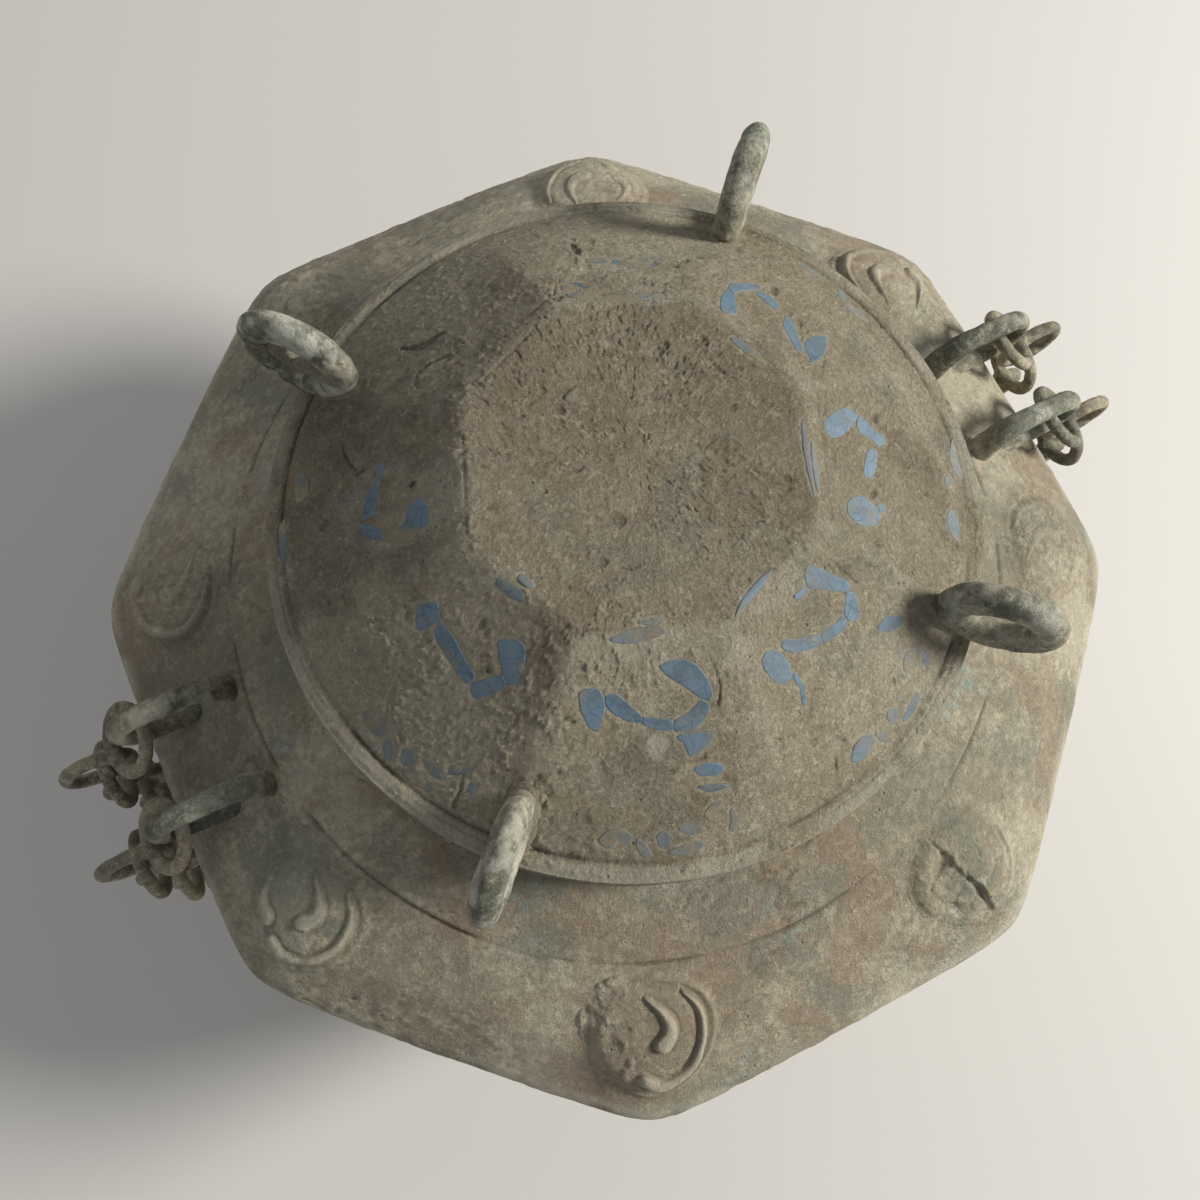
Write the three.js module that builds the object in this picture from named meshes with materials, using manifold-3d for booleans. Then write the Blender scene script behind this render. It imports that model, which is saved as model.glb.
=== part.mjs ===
// Lidded bronze container: an octagonal vessel with a round cap lid, four standing lid rings,
// blue inlay let into the lid, and two hanging chains. Millimetres, +Z up, base centre at the origin.
// +X points at the right-hand chain, so the flats of the belly lie at 0, 45, 90 ... degrees.
import * as THREE from 'three';
import Module from 'manifold-3d';

const wasm = await Module();
wasm.setup();

// Vessel
const acrossFlats = 350;
const bellyHeight = 175;
const footAcrossFlats = 204;
const footRingHeight = 7;
const footRingWidth = 15;
const vesselWall = 5;
const shoulderRise = 37;
const cornerRounding = 3;

// Neck and mouth
const neckRadius = 104;
const neckHeight = 33;
const neckWall = 5.5;

// Lid
const lidFit = 1.2;
const lidWall = 4.5;
const skirtHeight = 41;
const domeRise = 44;
const topAcrossFlats = 94;
const rimBead = 1.6;

// Whorl bosses on the shoulder
const bossRadius = 19;
const bossRise = 4.2;
const bossInset = 27;
const whorlRise = 1.1;

// Lid rings: each stands at its own angle and its own distance in from the rim
const ringOuterRadius = 19.5;
const ringHoleRadius = 8;
const ringThickness = 9;
const ringStand = 15.6;
const lidRings = [
  { angle: 45, inset: 11 },
  { angle: 131, inset: 13 },
  { angle: 225, inset: 10.5 },
  { angle: 315, inset: 8 },
];

// Chain lugs and links
const lugSpacing = 35.5;
const lugTipRadius = 10;
const lugThickness = 6.4;
const lugWidth = 7.6;
const lugHeight = 30;
const lugOverhang = 8.5;
const lugRoot = 40;
const eyeRadius = 11;
const linkWire = 5.4;
const linkPitch = 24;
const linksPerStrand = 3;
const bottomPitch = 29;
const firstLinkAngle = 45;

// Inlay
const inlayDepth = 1.8;
const scrollDistance = 66;
const borderDistance = 51.5;
const rimScrollDistance = 95;

// Clearances
const seatGap = 0.3;
const inlayGap = 0.3;
const linkGap = 0.4;

const turn = Math.PI / 180;
const eighth = 45;
const bellyApothem = acrossFlats / 2;
const ledgeHeight = bellyHeight + shoulderRise;
const lidFloor = ledgeHeight + seatGap;
const skirtInner = neckRadius + lidFit;
const skirtOuter = skirtInner + lidWall;
const rimHeight = lidFloor + skirtHeight;
const lidTop = rimHeight + domeRise;

// Materials
const metal = (colour, roughness) => new THREE.MeshStandardMaterial({ color: colour, roughness, metalness: 0.6 });
const vesselBronze = metal(0x8a7b5c, 0.85);
const lidBronze = metal(0x7b6d55, 0.88);
const ringBronze = metal(0x6f7465, 0.7);
const chainBronze = metal(0x5c6157, 0.65);
const blueInlay = new THREE.MeshStandardMaterial({ color: 0x3f7096, roughness: 0.55, metalness: 0 });

// Distance from the axis to an octagon with rounded corners; squareness 0 gives a circle.
function octagonRadius(apothem, angle, squareness) {
  const fromFlat = THREE.MathUtils.euclideanModulo(angle + eighth / 2, eighth) - eighth / 2;
  const toCorner = eighth / 2 - Math.abs(fromFlat);
  const softened = eighth / 2 - Math.hypot(toCorner, cornerRounding);
  const octagon = 1 / Math.cos(Math.max(softened, 0) * turn);
  return apothem * (1 + squareness * (octagon - 1));
}

// Angles round the axis, closer together at the eight corners.
const corners = [...Array(8).keys()].map((k) => k * eighth + eighth / 2);
const roundSteps = corners.flatMap((c) => [0, 3, 10, 22.5, 35, 42].map((step) => c + step));
const bossSteps = [...Array(16).keys()].map((i) => i * 22.5);

// Solid whose section is an octagon that turns into a circle; the profile starts and ends on the axis.
function turned(profile, flatTurn = 0, steps = roundSteps) {
  const points = [];
  const triangles = [];
  const count = steps.length;
  const inner = profile.slice(1, -1);
  points.push(0, 0, profile[0].z);
  for (const { r, z, oct } of inner) {
    for (const step of steps) {
      const radius = octagonRadius(r, step, oct);
      const angle = (step + flatTurn) * turn;
      points.push(radius * Math.cos(angle), radius * Math.sin(angle), z);
    }
  }
  points.push(0, 0, profile.at(-1).z);
  const last = 1 + inner.length * count;
  for (let i = 0; i < count; i += 1) {
    const next = (i + 1) % count;
    triangles.push(0, 1 + next, 1 + i);
    for (let row = 0; row < inner.length - 1; row += 1) {
      const here = 1 + row * count;
      const above = here + count;
      triangles.push(here + i, here + next, above + next, here + i, above + next, above + i);
    }
    const top = 1 + (inner.length - 1) * count;
    triangles.push(last, top + i, top + next);
  }
  return toSolid(points, triangles);
}

function toSolid(points, triangles) {
  const solid = new wasm.Manifold(new wasm.Mesh({
    numProp: 3,
    vertProperties: new Float32Array(points),
    triVerts: new Uint32Array(triangles),
  }));
  return solid;
}

// Bar of elliptical section along a flat path; the path lies in the plane square to `across`.
function bar(path, across, halfAcross, halfInPlane, { closed = false, sides = 6 } = {}) {
  const points = [];
  const triangles = [];
  const count = path.length;
  path.forEach((centre, i) => {
    const before = path[closed ? (i + count - 1) % count : Math.max(i - 1, 0)];
    const after = path[closed ? (i + 1) % count : Math.min(i + 1, count - 1)];
    const along = after.clone().sub(before).normalize();
    const inPlane = along.clone().cross(across).normalize();
    for (let s = 0; s < sides; s += 1) {
      const angle = (2 * Math.PI * (s + 0.5)) / sides;
      const p = centre.clone()
        .addScaledVector(across, halfAcross * Math.cos(angle))
        .addScaledVector(inPlane, halfInPlane * Math.sin(angle));
      points.push(p.x, p.y, p.z);
    }
  });
  const spans = closed ? count : count - 1;
  for (let i = 0; i < spans; i += 1) {
    const here = i * sides;
    const there = ((i + 1) % count) * sides;
    for (let s = 0; s < sides; s += 1) {
      const t = (s + 1) % sides;
      triangles.push(here + s, here + t, there + t, here + s, there + t, there + s);
    }
  }
  if (!closed) {
    const end = (count - 1) * sides;
    for (let s = 1; s < sides - 1; s += 1) {
      triangles.push(0, s + 1, s, end, end + s, end + s + 1);
    }
  }
  return toSolid(points, triangles);
}

// Ring of wire about an axis; `start` is any direction square to the axis.
function wireRing(centre, axis, start, radius, halfAcross, halfInPlane, steps = 14, sides = 6) {
  const side = axis.clone().cross(start);
  const path = [...Array(steps).keys()].map((i) => {
    const angle = (2 * Math.PI * i) / steps;
    return centre.clone()
      .addScaledVector(start, radius * Math.cos(angle))
      .addScaledVector(side, radius * Math.sin(angle));
  });
  return bar(path, axis, halfAcross, halfInPlane, { closed: true, sides });
}

// Upright prism over a flat outline, standing where `place` puts it.
function prism(outline, low, high, place) {
  const shape = new THREE.Shape(outline.map(([x, y]) => new THREE.Vector2(x, y)));
  const geometry = new THREE.ExtrudeGeometry(shape, { depth: high - low, bevelEnabled: false });
  geometry.translate(0, 0, low);
  geometry.applyMatrix4(place);
  return fromGeometry(geometry);
}

// Manifold solid from a three.js geometry, with its repeated corners joined.
function fromGeometry(geometry) {
  const position = geometry.getAttribute('position');
  const index = new Map();
  const points = [];
  const order = [];
  for (let i = 0; i < position.count; i += 1) {
    const p = [position.getX(i), position.getY(i), position.getZ(i)];
    const key = p.map((value) => value.toFixed(4)).join(' ');
    if (!index.has(key)) {
      index.set(key, index.size);
      points.push(...p);
    }
    order.push(index.get(key));
  }
  const source = geometry.getIndex();
  const triangles = source ? Array.from(source.array, (i) => order[i]) : order;
  return toSolid(points, triangles);
}

// Outline of a stroke: a centre line with a half width at each of its points.
function strokeOutline(line, grow = 0) {
  const left = [];
  const right = [];
  line.forEach(([x, y, half], i) => {
    const [bx, by] = line[Math.max(i - 1, 0)];
    const [ax, ay] = line[Math.min(i + 1, line.length - 1)];
    const length = Math.hypot(ax - bx, ay - by);
    const nx = -(ay - by) / length;
    const ny = (ax - bx) / length;
    const tip = i === 0 ? -grow : i === line.length - 1 ? grow : 0;
    const cx = x + ny * tip;
    const cy = y - nx * tip;
    left.push([cx + nx * (half + grow), cy + ny * (half + grow)]);
    right.push([cx - nx * (half + grow), cy - ny * (half + grow)]);
  });
  return [...right, ...left.reverse()];
}

// Moves a profile outward along its own normals.
function grownProfile(profile, distance) {
  return profile.map((point, i) => {
    const before = profile[Math.max(i - 1, 0)];
    const after = profile[Math.min(i + 1, profile.length - 1)];
    const dr = after.r - before.r;
    const dz = after.z - before.z;
    const length = Math.hypot(dr, dz);
    const onAxis = point.r === 0;
    return {
      r: onAxis ? 0 : point.r + (distance * dz) / length,
      z: point.z - (onAxis ? Math.sign(dr) * distance : (distance * dr) / length),
      oct: point.oct,
    };
  });
}

// Vessel outside, from the base centre up to the ledge that carries the lid.
const footApothem = footAcrossFlats / 2;
const belly = (share, out, oct = 1) => ({
  r: footApothem + (bellyApothem - footApothem) * out,
  z: footRingHeight + (bellyHeight - footRingHeight) * share,
  oct,
});
const shoulder = (share, rise, oct) => ({
  r: bellyApothem - (bellyApothem - skirtOuter) * share,
  z: bellyHeight + shoulderRise * rise,
  oct,
});
const lowerOutside = [
  { r: footApothem, z: 0, oct: 1 },
  { r: footApothem, z: footRingHeight, oct: 1 },
  belly(0.16, 0.27),
  belly(0.36, 0.55),
  belly(0.58, 0.79),
  belly(0.8, 0.94),
  belly(0.95, 0.993),
];
const upperOutside = [
  { r: bellyApothem, z: bellyHeight, oct: 1 },
  shoulder(0.035, 0.1, 0.98),
  shoulder(0.27, 0.46, 0.88),
  shoulder(0.6, 0.755, 0.5),
  shoulder(0.625, 0.755, 0.45),
  shoulder(0.83, 0.93, 0.12),
  shoulder(1, 1, 0),
];

function makeVessel() {
  const neckInner = neckRadius - neckWall;
  const neckTop = ledgeHeight + neckHeight;
  const inside = [
    { r: neckInner, z: neckTop, oct: 0 },
    { r: neckInner, z: ledgeHeight - vesselWall, oct: 0 },
    ...[...upperOutside].reverse().slice(2, -1).map(({ r, z, oct }) => (
      { r: r - vesselWall, z: z - vesselWall, oct })),
    { r: bellyApothem - vesselWall, z: bellyHeight - vesselWall / 2, oct: 1 },
    ...[...lowerOutside].reverse().slice(1, -2).map(({ r, z, oct }) => (
      { r: r - vesselWall * 1.15, z: z + vesselWall * 0.35, oct })),
    { r: footApothem - vesselWall * 2.2, z: footRingHeight + vesselWall, oct: 1 },
    { r: 0, z: footRingHeight + vesselWall * 0.7, oct: 1 },
  ];
  const underside = [
    { r: 0, z: footRingHeight - 2, oct: 1 },
    { r: footApothem - footRingWidth, z: footRingHeight - 2, oct: 1 },
    { r: footApothem - footRingWidth, z: 0, oct: 1 },
  ];
  const neck = [
    { r: neckRadius, z: ledgeHeight, oct: 0 },
    { r: neckRadius, z: neckTop, oct: 0 },
  ];
  const shell = turned([...underside, ...lowerOutside, ...upperOutside, ...neck, ...inside]);
  return corners.reduce((solid, angle) => solid.add(makeBoss(angle)), shell);
}

// Filled vessel up to the ledge, used to trim what stands on the shoulder.
const filledVessel = (gap) => turned([
  { r: 0, z: 0, oct: 1 },
  ...grownProfile([...lowerOutside, ...upperOutside], gap),
  { r: 0, z: ledgeHeight + gap, oct: 0 },
]);

// Domed roundel with a comma-shaped whorl; it leans with the shoulder at a corner of the octagon.
function makeBoss(angle) {
  const cornerRadius = octagonRadius(bellyApothem, eighth / 2, 1);
  const reach = cornerRadius - bossInset;
  const slope = 0.62;
  const surface = bellyHeight + shoulderRise * 0.5;
  const rings = [[1, -4], [1, 0.25], [0.86, 0.62], [0.5, 0.9]];
  const dome = rings.map(([r, z]) => ({ r: bossRadius * r, z: bossRise * z, oct: 0 }));
  const profile = [{ r: 0, z: bossRise * -4, oct: 0 }, ...dome, { r: 0, z: bossRise, oct: 0 }];
  const cap = turned(profile, 0, bossSteps);
  const whorl = prism(whorlOutline(), bossRise * 0.4, bossRise + whorlRise, new THREE.Matrix4());
  const place = new THREE.Matrix4()
    .makeRotationZ(angle * turn)
    .multiply(new THREE.Matrix4().makeTranslation(reach, 0, surface))
    .multiply(new THREE.Matrix4().makeRotationY(slope));
  return cap.add(whorl).transform(Array.from(place.elements));
}

// C-shaped comma that curls round the middle of a boss.
function whorlOutline() {
  const turns = [...Array(9).keys()].map((i) => {
    const share = i / 8;
    const angle = (-150 + 250 * share) * turn;
    const radius = bossRadius * (0.66 - 0.3 * share * share);
    return [radius * Math.cos(angle), radius * Math.sin(angle), bossRadius * (0.1 + 0.08 * share)];
  });
  return strokeOutline(turns);
}

// Lid outside, from the top centre out to the rim and down the skirt.
const topApothem = topAcrossFlats / 2;
const dome = (share, drop, oct) => ({
  r: topApothem + (skirtOuter - topApothem) * share,
  z: lidTop - domeRise * drop,
  oct,
});
const domeOutside = [
  dome(0, 0, 1),
  dome(0.05, 0.035, 1),
  dome(0.3, 0.27, 0.85),
  dome(0.58, 0.56, 0.5),
  dome(0.82, 0.82, 0.15),
  dome(0.95, 0.965, 0),
];
const lidUp = (profile) => [...profile].reverse();

function makeLid(recesses) {
  const rim = [
    { r: skirtOuter + rimBead, z: rimHeight, oct: 0 },
    { r: skirtOuter + rimBead, z: rimHeight - 6, oct: 0 },
    { r: skirtOuter, z: rimHeight - 8, oct: 0 },
    { r: skirtOuter, z: lidFloor, oct: 0 },
  ];
  const inside = domeOutside.slice(1).map(({ r, z, oct }) => (
    { r: Math.min(r, skirtInner - 1), z: z - lidWall * 1.25, oct }));
  const profile = [
    { r: 0, z: lidTop - lidWall * 1.25, oct: 1 },
    ...inside,
    { r: skirtInner, z: rimHeight - lidWall, oct: 0 },
    { r: skirtInner, z: lidFloor, oct: 0 },
    ...lidUp(rim),
    ...lidUp(domeOutside),
    { r: 0, z: lidTop, oct: 1 },
  ];
  const shell = turned(profile, eighth / 2);
  return recesses.reduce((solid, cut) => solid.subtract(cut), shell);
}

// Filled lid outside, moved up or down, used to trim rings and to cut inlay to its depth.
const filledLid = (lift) => turned([
  { r: 0, z: lidFloor, oct: 0 },
  { r: skirtOuter + rimBead + Math.max(lift, 0), z: lidFloor, oct: 0 },
  { r: skirtOuter + rimBead + Math.max(lift, 0), z: rimHeight + lift, oct: 0 },
  ...lidUp(domeOutside).map(({ r, z, oct }) => ({ r, z: z + lift, oct })),
  { r: 0, z: lidTop + lift, oct: 1 },
], eighth / 2);

// Inlay outlines, in a plane with x round the lid and y up its slope
const scrollLine = [
  [-17, -4.5, 1.6], [-15.5, -1.5, 2.9], [-12, 0, 2.3], [-7, -2.5, 1.5], [-1, -6, 1.6],
  [6, -8, 2.2], [12.5, -6.5, 3], [16, -1, 3.3], [14, 5, 3.1], [9, 8.5, 2.8], [4.5, 9, 2.4],
];
const borderLine = [[-10, 0.6, 0.5], [-6, 0, 1.6], [0, -0.2, 2], [6, 0, 1.6], [10, 0.6, 0.5]];
const rimScrollLine = [
  [-15, -2.5, 1.1], [-9, -0.5, 1.9], [-3, -1.5, 1.2], [3, -4, 1.3], [9, -5.5, 1.7],
  [14, -3, 1.9], [15.5, 2, 1.7], [12.5, 6, 1.5], [8, 6.2, 1.3], [5.5, 3, 1.1],
];

// One piece of inlay and the recess that takes it.
function makeInlay(line, angle, distance) {
  const place = new THREE.Matrix4()
    .makeRotationZ((angle - 90) * turn)
    .multiply(new THREE.Matrix4().makeTranslation(0, distance, 0))
    .multiply(new THREE.Matrix4().makeRotationZ(Math.PI));
  const under = lidFloor;
  const over = lidTop + 10;
  const depth = inlayDepth + inlayGap;
  const piece = prism(strokeOutline(line), under, over, place)
    .intersect(filledLid(0))
    .subtract(filledLid(-inlayDepth));
  const recess = prism(strokeOutline(line, inlayGap), under, over, place)
    .subtract(filledLid(-depth));
  return { piece, recess };
}

// Standing ring on a ridge of the lid, leaning out with the slope.
function makeLidRing({ angle, inset }) {
  const lean = 48 * turn;
  const footRadius = skirtOuter - inset;
  const footHeight = rimHeight + inset * 0.75;
  const out = new THREE.Vector3(Math.cos(angle * turn), Math.sin(angle * turn), 0);
  const up = new THREE.Vector3(0, 0, 1);
  const centre = out.clone().multiplyScalar(footRadius + ringStand * Math.sin(lean))
    .addScaledVector(up, footHeight + ringStand * Math.cos(lean));
  const axis = out.clone().cross(up);
  const middle = (ringOuterRadius + ringHoleRadius) / 2;
  const halfWide = (ringOuterRadius - ringHoleRadius) / 2;
  const ring = wireRing(centre, axis, up, middle, ringThickness / 2, halfWide, 20, 8);
  return ring.subtract(filledLid(seatGap * 1.4));
}

// Chain lugs: a flat loop that stands out from the shoulder over the edge of the belly
const lugCentre = bellyApothem - lugOverhang;
const lugLevel = bellyHeight + lugHeight;

function makeLug(side, y) {
  const upper = [[lugRoot, -11], [lugRoot - 3, -1], [lugRoot - 9, 7.5], [lugRoot - 17, lugTipRadius]];
  const path = upper.map(([back, z]) => new THREE.Vector3(side * (lugCentre - back + lugTipRadius), y, lugLevel + z));
  for (let i = 0; i <= 8; i += 1) {
    const angle = (90 - 22.5 * i) * turn;
    const x = lugCentre + lugTipRadius * Math.cos(angle);
    path.push(new THREE.Vector3(side * x, y, lugLevel + lugTipRadius * Math.sin(angle)));
  }
  path.push(new THREE.Vector3(side * (lugCentre - 14), y, lugLevel - lugTipRadius - 2));
  path.push(new THREE.Vector3(side * (lugCentre - 24), y, lugLevel - lugTipRadius - 10));
  const across = new THREE.Vector3(0, 1, 0);
  return bar(path, across, lugWidth / 2, lugThickness / 2, { sides: 8 }).subtract(filledVessel(seatGap));
}

// A link has two eyes a quarter turn apart, joined by a short neck.
function makeLink(first, along, across) {
  const halfWire = linkWire / 2;
  const second = first.clone().addScaledVector(along, linkPitch);
  const normal = along.clone().cross(across);
  const upperEye = wireRing(first, normal, along, eyeRadius, halfWire, halfWire);
  const lowerEye = wireRing(second, across, along, eyeRadius, halfWire, halfWire);
  const middle = first.clone().lerp(second, 0.5);
  const neck = bar(
    [-2.2, 2.2].map((step) => middle.clone().addScaledVector(along, step)),
    across, 3.4, 3.4, { sides: 8 },
  );
  return { solid: upperEye.add(lowerEye).add(neck), second };
}

// The bottom link joins the two strands; both of its eyes lie in one plane.
function makeBottomLink(centre) {
  const halfWire = linkWire / 2;
  const axis = new THREE.Vector3(1, 0, 0);
  const across = new THREE.Vector3(0, 1, 0);
  const eyes = [-1, 1].map((way) => wireRing(
    centre.clone().addScaledVector(across, (way * bottomPitch) / 2), axis, across, eyeRadius, halfWire, halfWire));
  const inner = bottomPitch / 2 - eyeRadius + 1;
  const neck = bar([-inner, inner].map((y) => centre.clone().addScaledVector(across, y)), axis, 3, 3.2, { sides: 8 });
  return eyes[0].add(eyes[1]).add(neck);
}

// Places of the links of one strand, from the lug down.
function strandPlaces(side, y) {
  const out = new THREE.Vector3(side, 0, 0);
  const down = new THREE.Vector3(0, 0, -1);
  const lean = firstLinkAngle * turn;
  const along = out.clone().multiplyScalar(Math.sin(lean)).addScaledVector(down, Math.cos(lean));
  const hole = eyeRadius - linkWire / 2;
  const hang = hole - lugThickness / 2 - linkGap;
  const places = [{
    first: new THREE.Vector3(side * lugCentre, y, lugLevel).addScaledVector(along, lugTipRadius + hang),
    along,
  }];
  const drop = 2 * eyeRadius - linkWire - linkGap;
  for (let i = 1; i < linksPerStrand; i += 1) {
    const last = places[i - 1];
    const eye = last.first.clone().addScaledVector(last.along, linkPitch);
    places.push({ first: eye.addScaledVector(down, drop), along: down });
  }
  return places;
}

const parts = [];
const addPart = (name, solid, material) => parts.push({ name, solid, material });

addPart('vessel_body', makeVessel(), vesselBronze);

const recesses = [];
[...Array(8).keys()].forEach((k) => {
  const angle = k * eighth + eighth / 2;
  const kinds = [
    ['scroll_inlay', scrollLine, scrollDistance],
    ['border_inlay', borderLine, borderDistance],
    ['rim_inlay', rimScrollLine, rimScrollDistance],
  ];
  for (const [name, line, distance] of kinds) {
    const { piece, recess } = makeInlay(line, angle, distance);
    recesses.push(recess);
    addPart(`${name}_${k + 1}`, piece, blueInlay);
  }
});
addPart('lid', makeLid(recesses), lidBronze);

lidRings.forEach((ring, k) => addPart(`lid_ring_${k + 1}`, makeLidRing(ring), ringBronze));

const across = new THREE.Vector3(0, 1, 0);
for (const [sideName, side] of [['right', 1], ['left', -1]]) {
  let bottomCentre = null;
  for (const [strandName, way] of [['back', 1], ['front', -1]]) {
    const y = (way * lugSpacing) / 2;
    addPart(`${sideName}_${strandName}_lug`, makeLug(side, y), ringBronze);
    strandPlaces(side, y).forEach(({ first, along }, i) => {
      const { solid, second } = makeLink(first, along, across);
      addPart(`${sideName}_${strandName}_link_${i + 1}`, solid, chainBronze);
      bottomCentre = second;
    });
  }
  const wireHeight = bottomCentre.z - eyeRadius;
  const sideways = lugSpacing / 2 - bottomPitch / 2;
  const reach = 2 * (eyeRadius - linkWire / 2 - linkGap / 2) - eyeRadius;
  const lower = Math.sqrt(Math.max(reach * reach - sideways * sideways, 0));
  const centre = new THREE.Vector3(bottomCentre.x, 0, wireHeight - lower);
  addPart(`${sideName}_bottom_link`, makeBottomLink(centre), chainBronze);
}

const group = new THREE.Group();
group.name = 'lidded_bronze_container';
for (const { name, solid, material } of parts) {
  const { vertProperties, triVerts } = solid.getMesh();
  const geometry = new THREE.BufferGeometry();
  geometry.setAttribute('position', new THREE.BufferAttribute(new Float32Array(vertProperties), 3));
  geometry.setIndex(new THREE.BufferAttribute(new Uint32Array(triVerts), 1));
  geometry.computeVertexNormals();
  const mesh = new THREE.Mesh(geometry, material);
  mesh.name = name;
  group.add(mesh);
}

export default group;
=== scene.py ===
"""Looks of the lidded bronze container: buried-bronze patina, relief, blue inlay and hanging chains.

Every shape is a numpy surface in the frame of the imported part: metres, +Z up, origin under the foot.
Sizes inside the classes are written in millimetres and turned into metres when a mesh is made.
"""

from __future__ import annotations

import logging
import math
from dataclasses import dataclass, field
from enum import Enum

import bmesh
import bpy
import numpy as np
from mathutils import Matrix

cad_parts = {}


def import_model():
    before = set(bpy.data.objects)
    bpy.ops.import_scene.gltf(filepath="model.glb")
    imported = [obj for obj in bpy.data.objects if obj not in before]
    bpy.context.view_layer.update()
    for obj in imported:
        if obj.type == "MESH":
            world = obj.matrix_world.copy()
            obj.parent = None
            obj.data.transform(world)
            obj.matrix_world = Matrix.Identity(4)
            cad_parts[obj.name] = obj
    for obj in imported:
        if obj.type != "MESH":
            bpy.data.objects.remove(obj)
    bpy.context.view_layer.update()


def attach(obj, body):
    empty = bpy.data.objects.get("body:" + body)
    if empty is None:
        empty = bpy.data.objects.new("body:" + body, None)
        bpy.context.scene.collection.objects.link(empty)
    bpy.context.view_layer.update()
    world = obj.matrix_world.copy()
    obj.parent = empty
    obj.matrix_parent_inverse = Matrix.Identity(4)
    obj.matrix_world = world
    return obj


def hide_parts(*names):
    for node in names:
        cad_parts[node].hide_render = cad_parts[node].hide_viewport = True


LOG = logging.getLogger("container")
MM = 0.001
EIGHTH = 45.0
Outline = tuple[tuple[float, float], ...]
Stroke = tuple[tuple[float, float, float], ...]
Array = np.ndarray
Grid = tuple[Array, bool]
Marks = dict[str, Array]
Socket = bpy.types.NodeSocket


class Body(str, Enum):
    """Moving bodies that pieces ride on."""

    VESSEL = "vessel"
    LID = "lid"


class Slot(str, Enum):
    """Material slots of the record."""

    VESSEL = "vessel_bronze"
    LID = "lid_bronze"
    RING = "ring_bronze"
    CHAIN = "chain_bronze"
    INLAY = "inlay"


def linear(code: str) -> tuple[float, float, float, float]:
    """Turns a display colour into the linear colour that shaders use.

    Args:
        code: six hexadecimal digits, red first.

    Returns:
        Linear red, green, blue and an alpha of one.
    """
    parts = [int(code[i : i + 2], 16) / 255 for i in (0, 2, 4)]
    flat = [p / 12.92 if p <= 0.04045 else ((p + 0.055) / 1.055) ** 2.4 for p in parts]
    return (flat[0], flat[1], flat[2], 1.0)


def fade(value: Array, low: float, high: float) -> Array:
    """Smooth step: 0 below low, 1 above high, with flat ends (3t^2 - 2t^3)."""
    t = np.clip((value - low) / (high - low), 0.0, 1.0)
    return t * t * (3.0 - 2.0 * t)


def bell(value: Array, middle: float | Array, width: float) -> Array:
    """Bump that is 1 at a middle value: e to the power of minus the squared offset in widths."""
    return np.exp(-(((value - middle) / width) ** 2))


def corner_angle(k: int) -> float:
    """Degrees round the axis of the body's corner k, which is also the middle of the lid's facet k."""
    return EIGHTH * k + EIGHTH / 2


class LatticeNoise:
    """Smooth noise from random values on a cubic lattice."""

    size = 32
    origin_shift = 7.3
    layer_shift = 13.7

    def __init__(self, seed: int) -> None:
        """Fills the lattice.

        Args:
            seed: number that fixes the random values.
        """
        rng = np.random.default_rng(seed)
        self.table = rng.uniform(-1.0, 1.0, (self.size, self.size, self.size))
        turn = rng.normal(size=(3, 3))
        self.turn = np.linalg.qr(turn)[0]

    def smooth(self, points: Array, cell: float) -> Array:
        """Noise from -1 to 1: values at the eight lattice corners, blended with 6t^5 - 15t^4 + 10t^3.

        Args:
            points: places, with x, y, z last.
            cell: lattice spacing, in the unit of the places.

        Returns:
            One value for each place.
        """
        q = points @ self.turn.T / cell + self.origin_shift
        base = np.floor(q).astype(int)
        t = q - base
        t = t * t * t * (t * (t * 6.0 - 15.0) + 10.0)
        total = np.zeros(points.shape[:-1])
        for corner in np.ndindex(2, 2, 2):
            cell_index = (base + corner) % self.size
            weight = np.prod(np.where(np.array(corner) == 1, t, 1.0 - t), axis=-1)
            total += weight * self.table[cell_index[..., 0], cell_index[..., 1], cell_index[..., 2]]
        return total

    def layered(self, points: Array, cell: float, layers: int = 4, keep: float = 0.5) -> Array:
        """Sum of layers, each of half the cell and `keep` of the strength of the one before.

        Args:
            points: places, with x, y, z last.
            cell: lattice spacing of the first layer.
            layers: how many layers.
            keep: strength left in each further layer.

        Returns:
            One value for each place, about -1 to 1.
        """
        total = np.zeros(points.shape[:-1])
        strength = 1.0
        whole = 0.0
        for layer in range(layers):
            total += strength * self.smooth(points + self.layer_shift * layer, cell)
            whole += strength
            strength *= keep
            cell *= 0.5
        return total / whole

    def patches(
        self, points: Array, shift: float, cell: float, layers: int, low: float, high: float,
        keep: float = 0.5,
    ) -> Array:
        """Patches from 0 to 1: layered noise at shifted places, faded between two levels."""
        return fade(self.layered(points + shift, cell, layers, keep), low, high)


def octagon(angle: Array, rounding: float = 3.0) -> Array:
    """Distance to an octagon's edge over its apothem: the secant of the angle from a side's middle.

    Args:
        angle: degrees from the middle of a side.
        rounding: degrees by which the corners are softened.

    Returns:
        One value for each angle.
    """
    off = np.abs((angle + EIGHTH / 2) % EIGHTH - EIGHTH / 2)
    soft = EIGHTH / 2 - np.hypot(EIGHTH / 2 - off, rounding)
    return 1.0 / np.cos(np.radians(np.maximum(soft, 0.0)))


def polar(radius: Array, degrees: Array, height: Array) -> Array:
    """Points at a radius, an angle in degrees and a height."""
    a = np.radians(degrees)
    return np.stack(np.broadcast_arrays(radius * np.cos(a), radius * np.sin(a), height), axis=-1)


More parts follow.
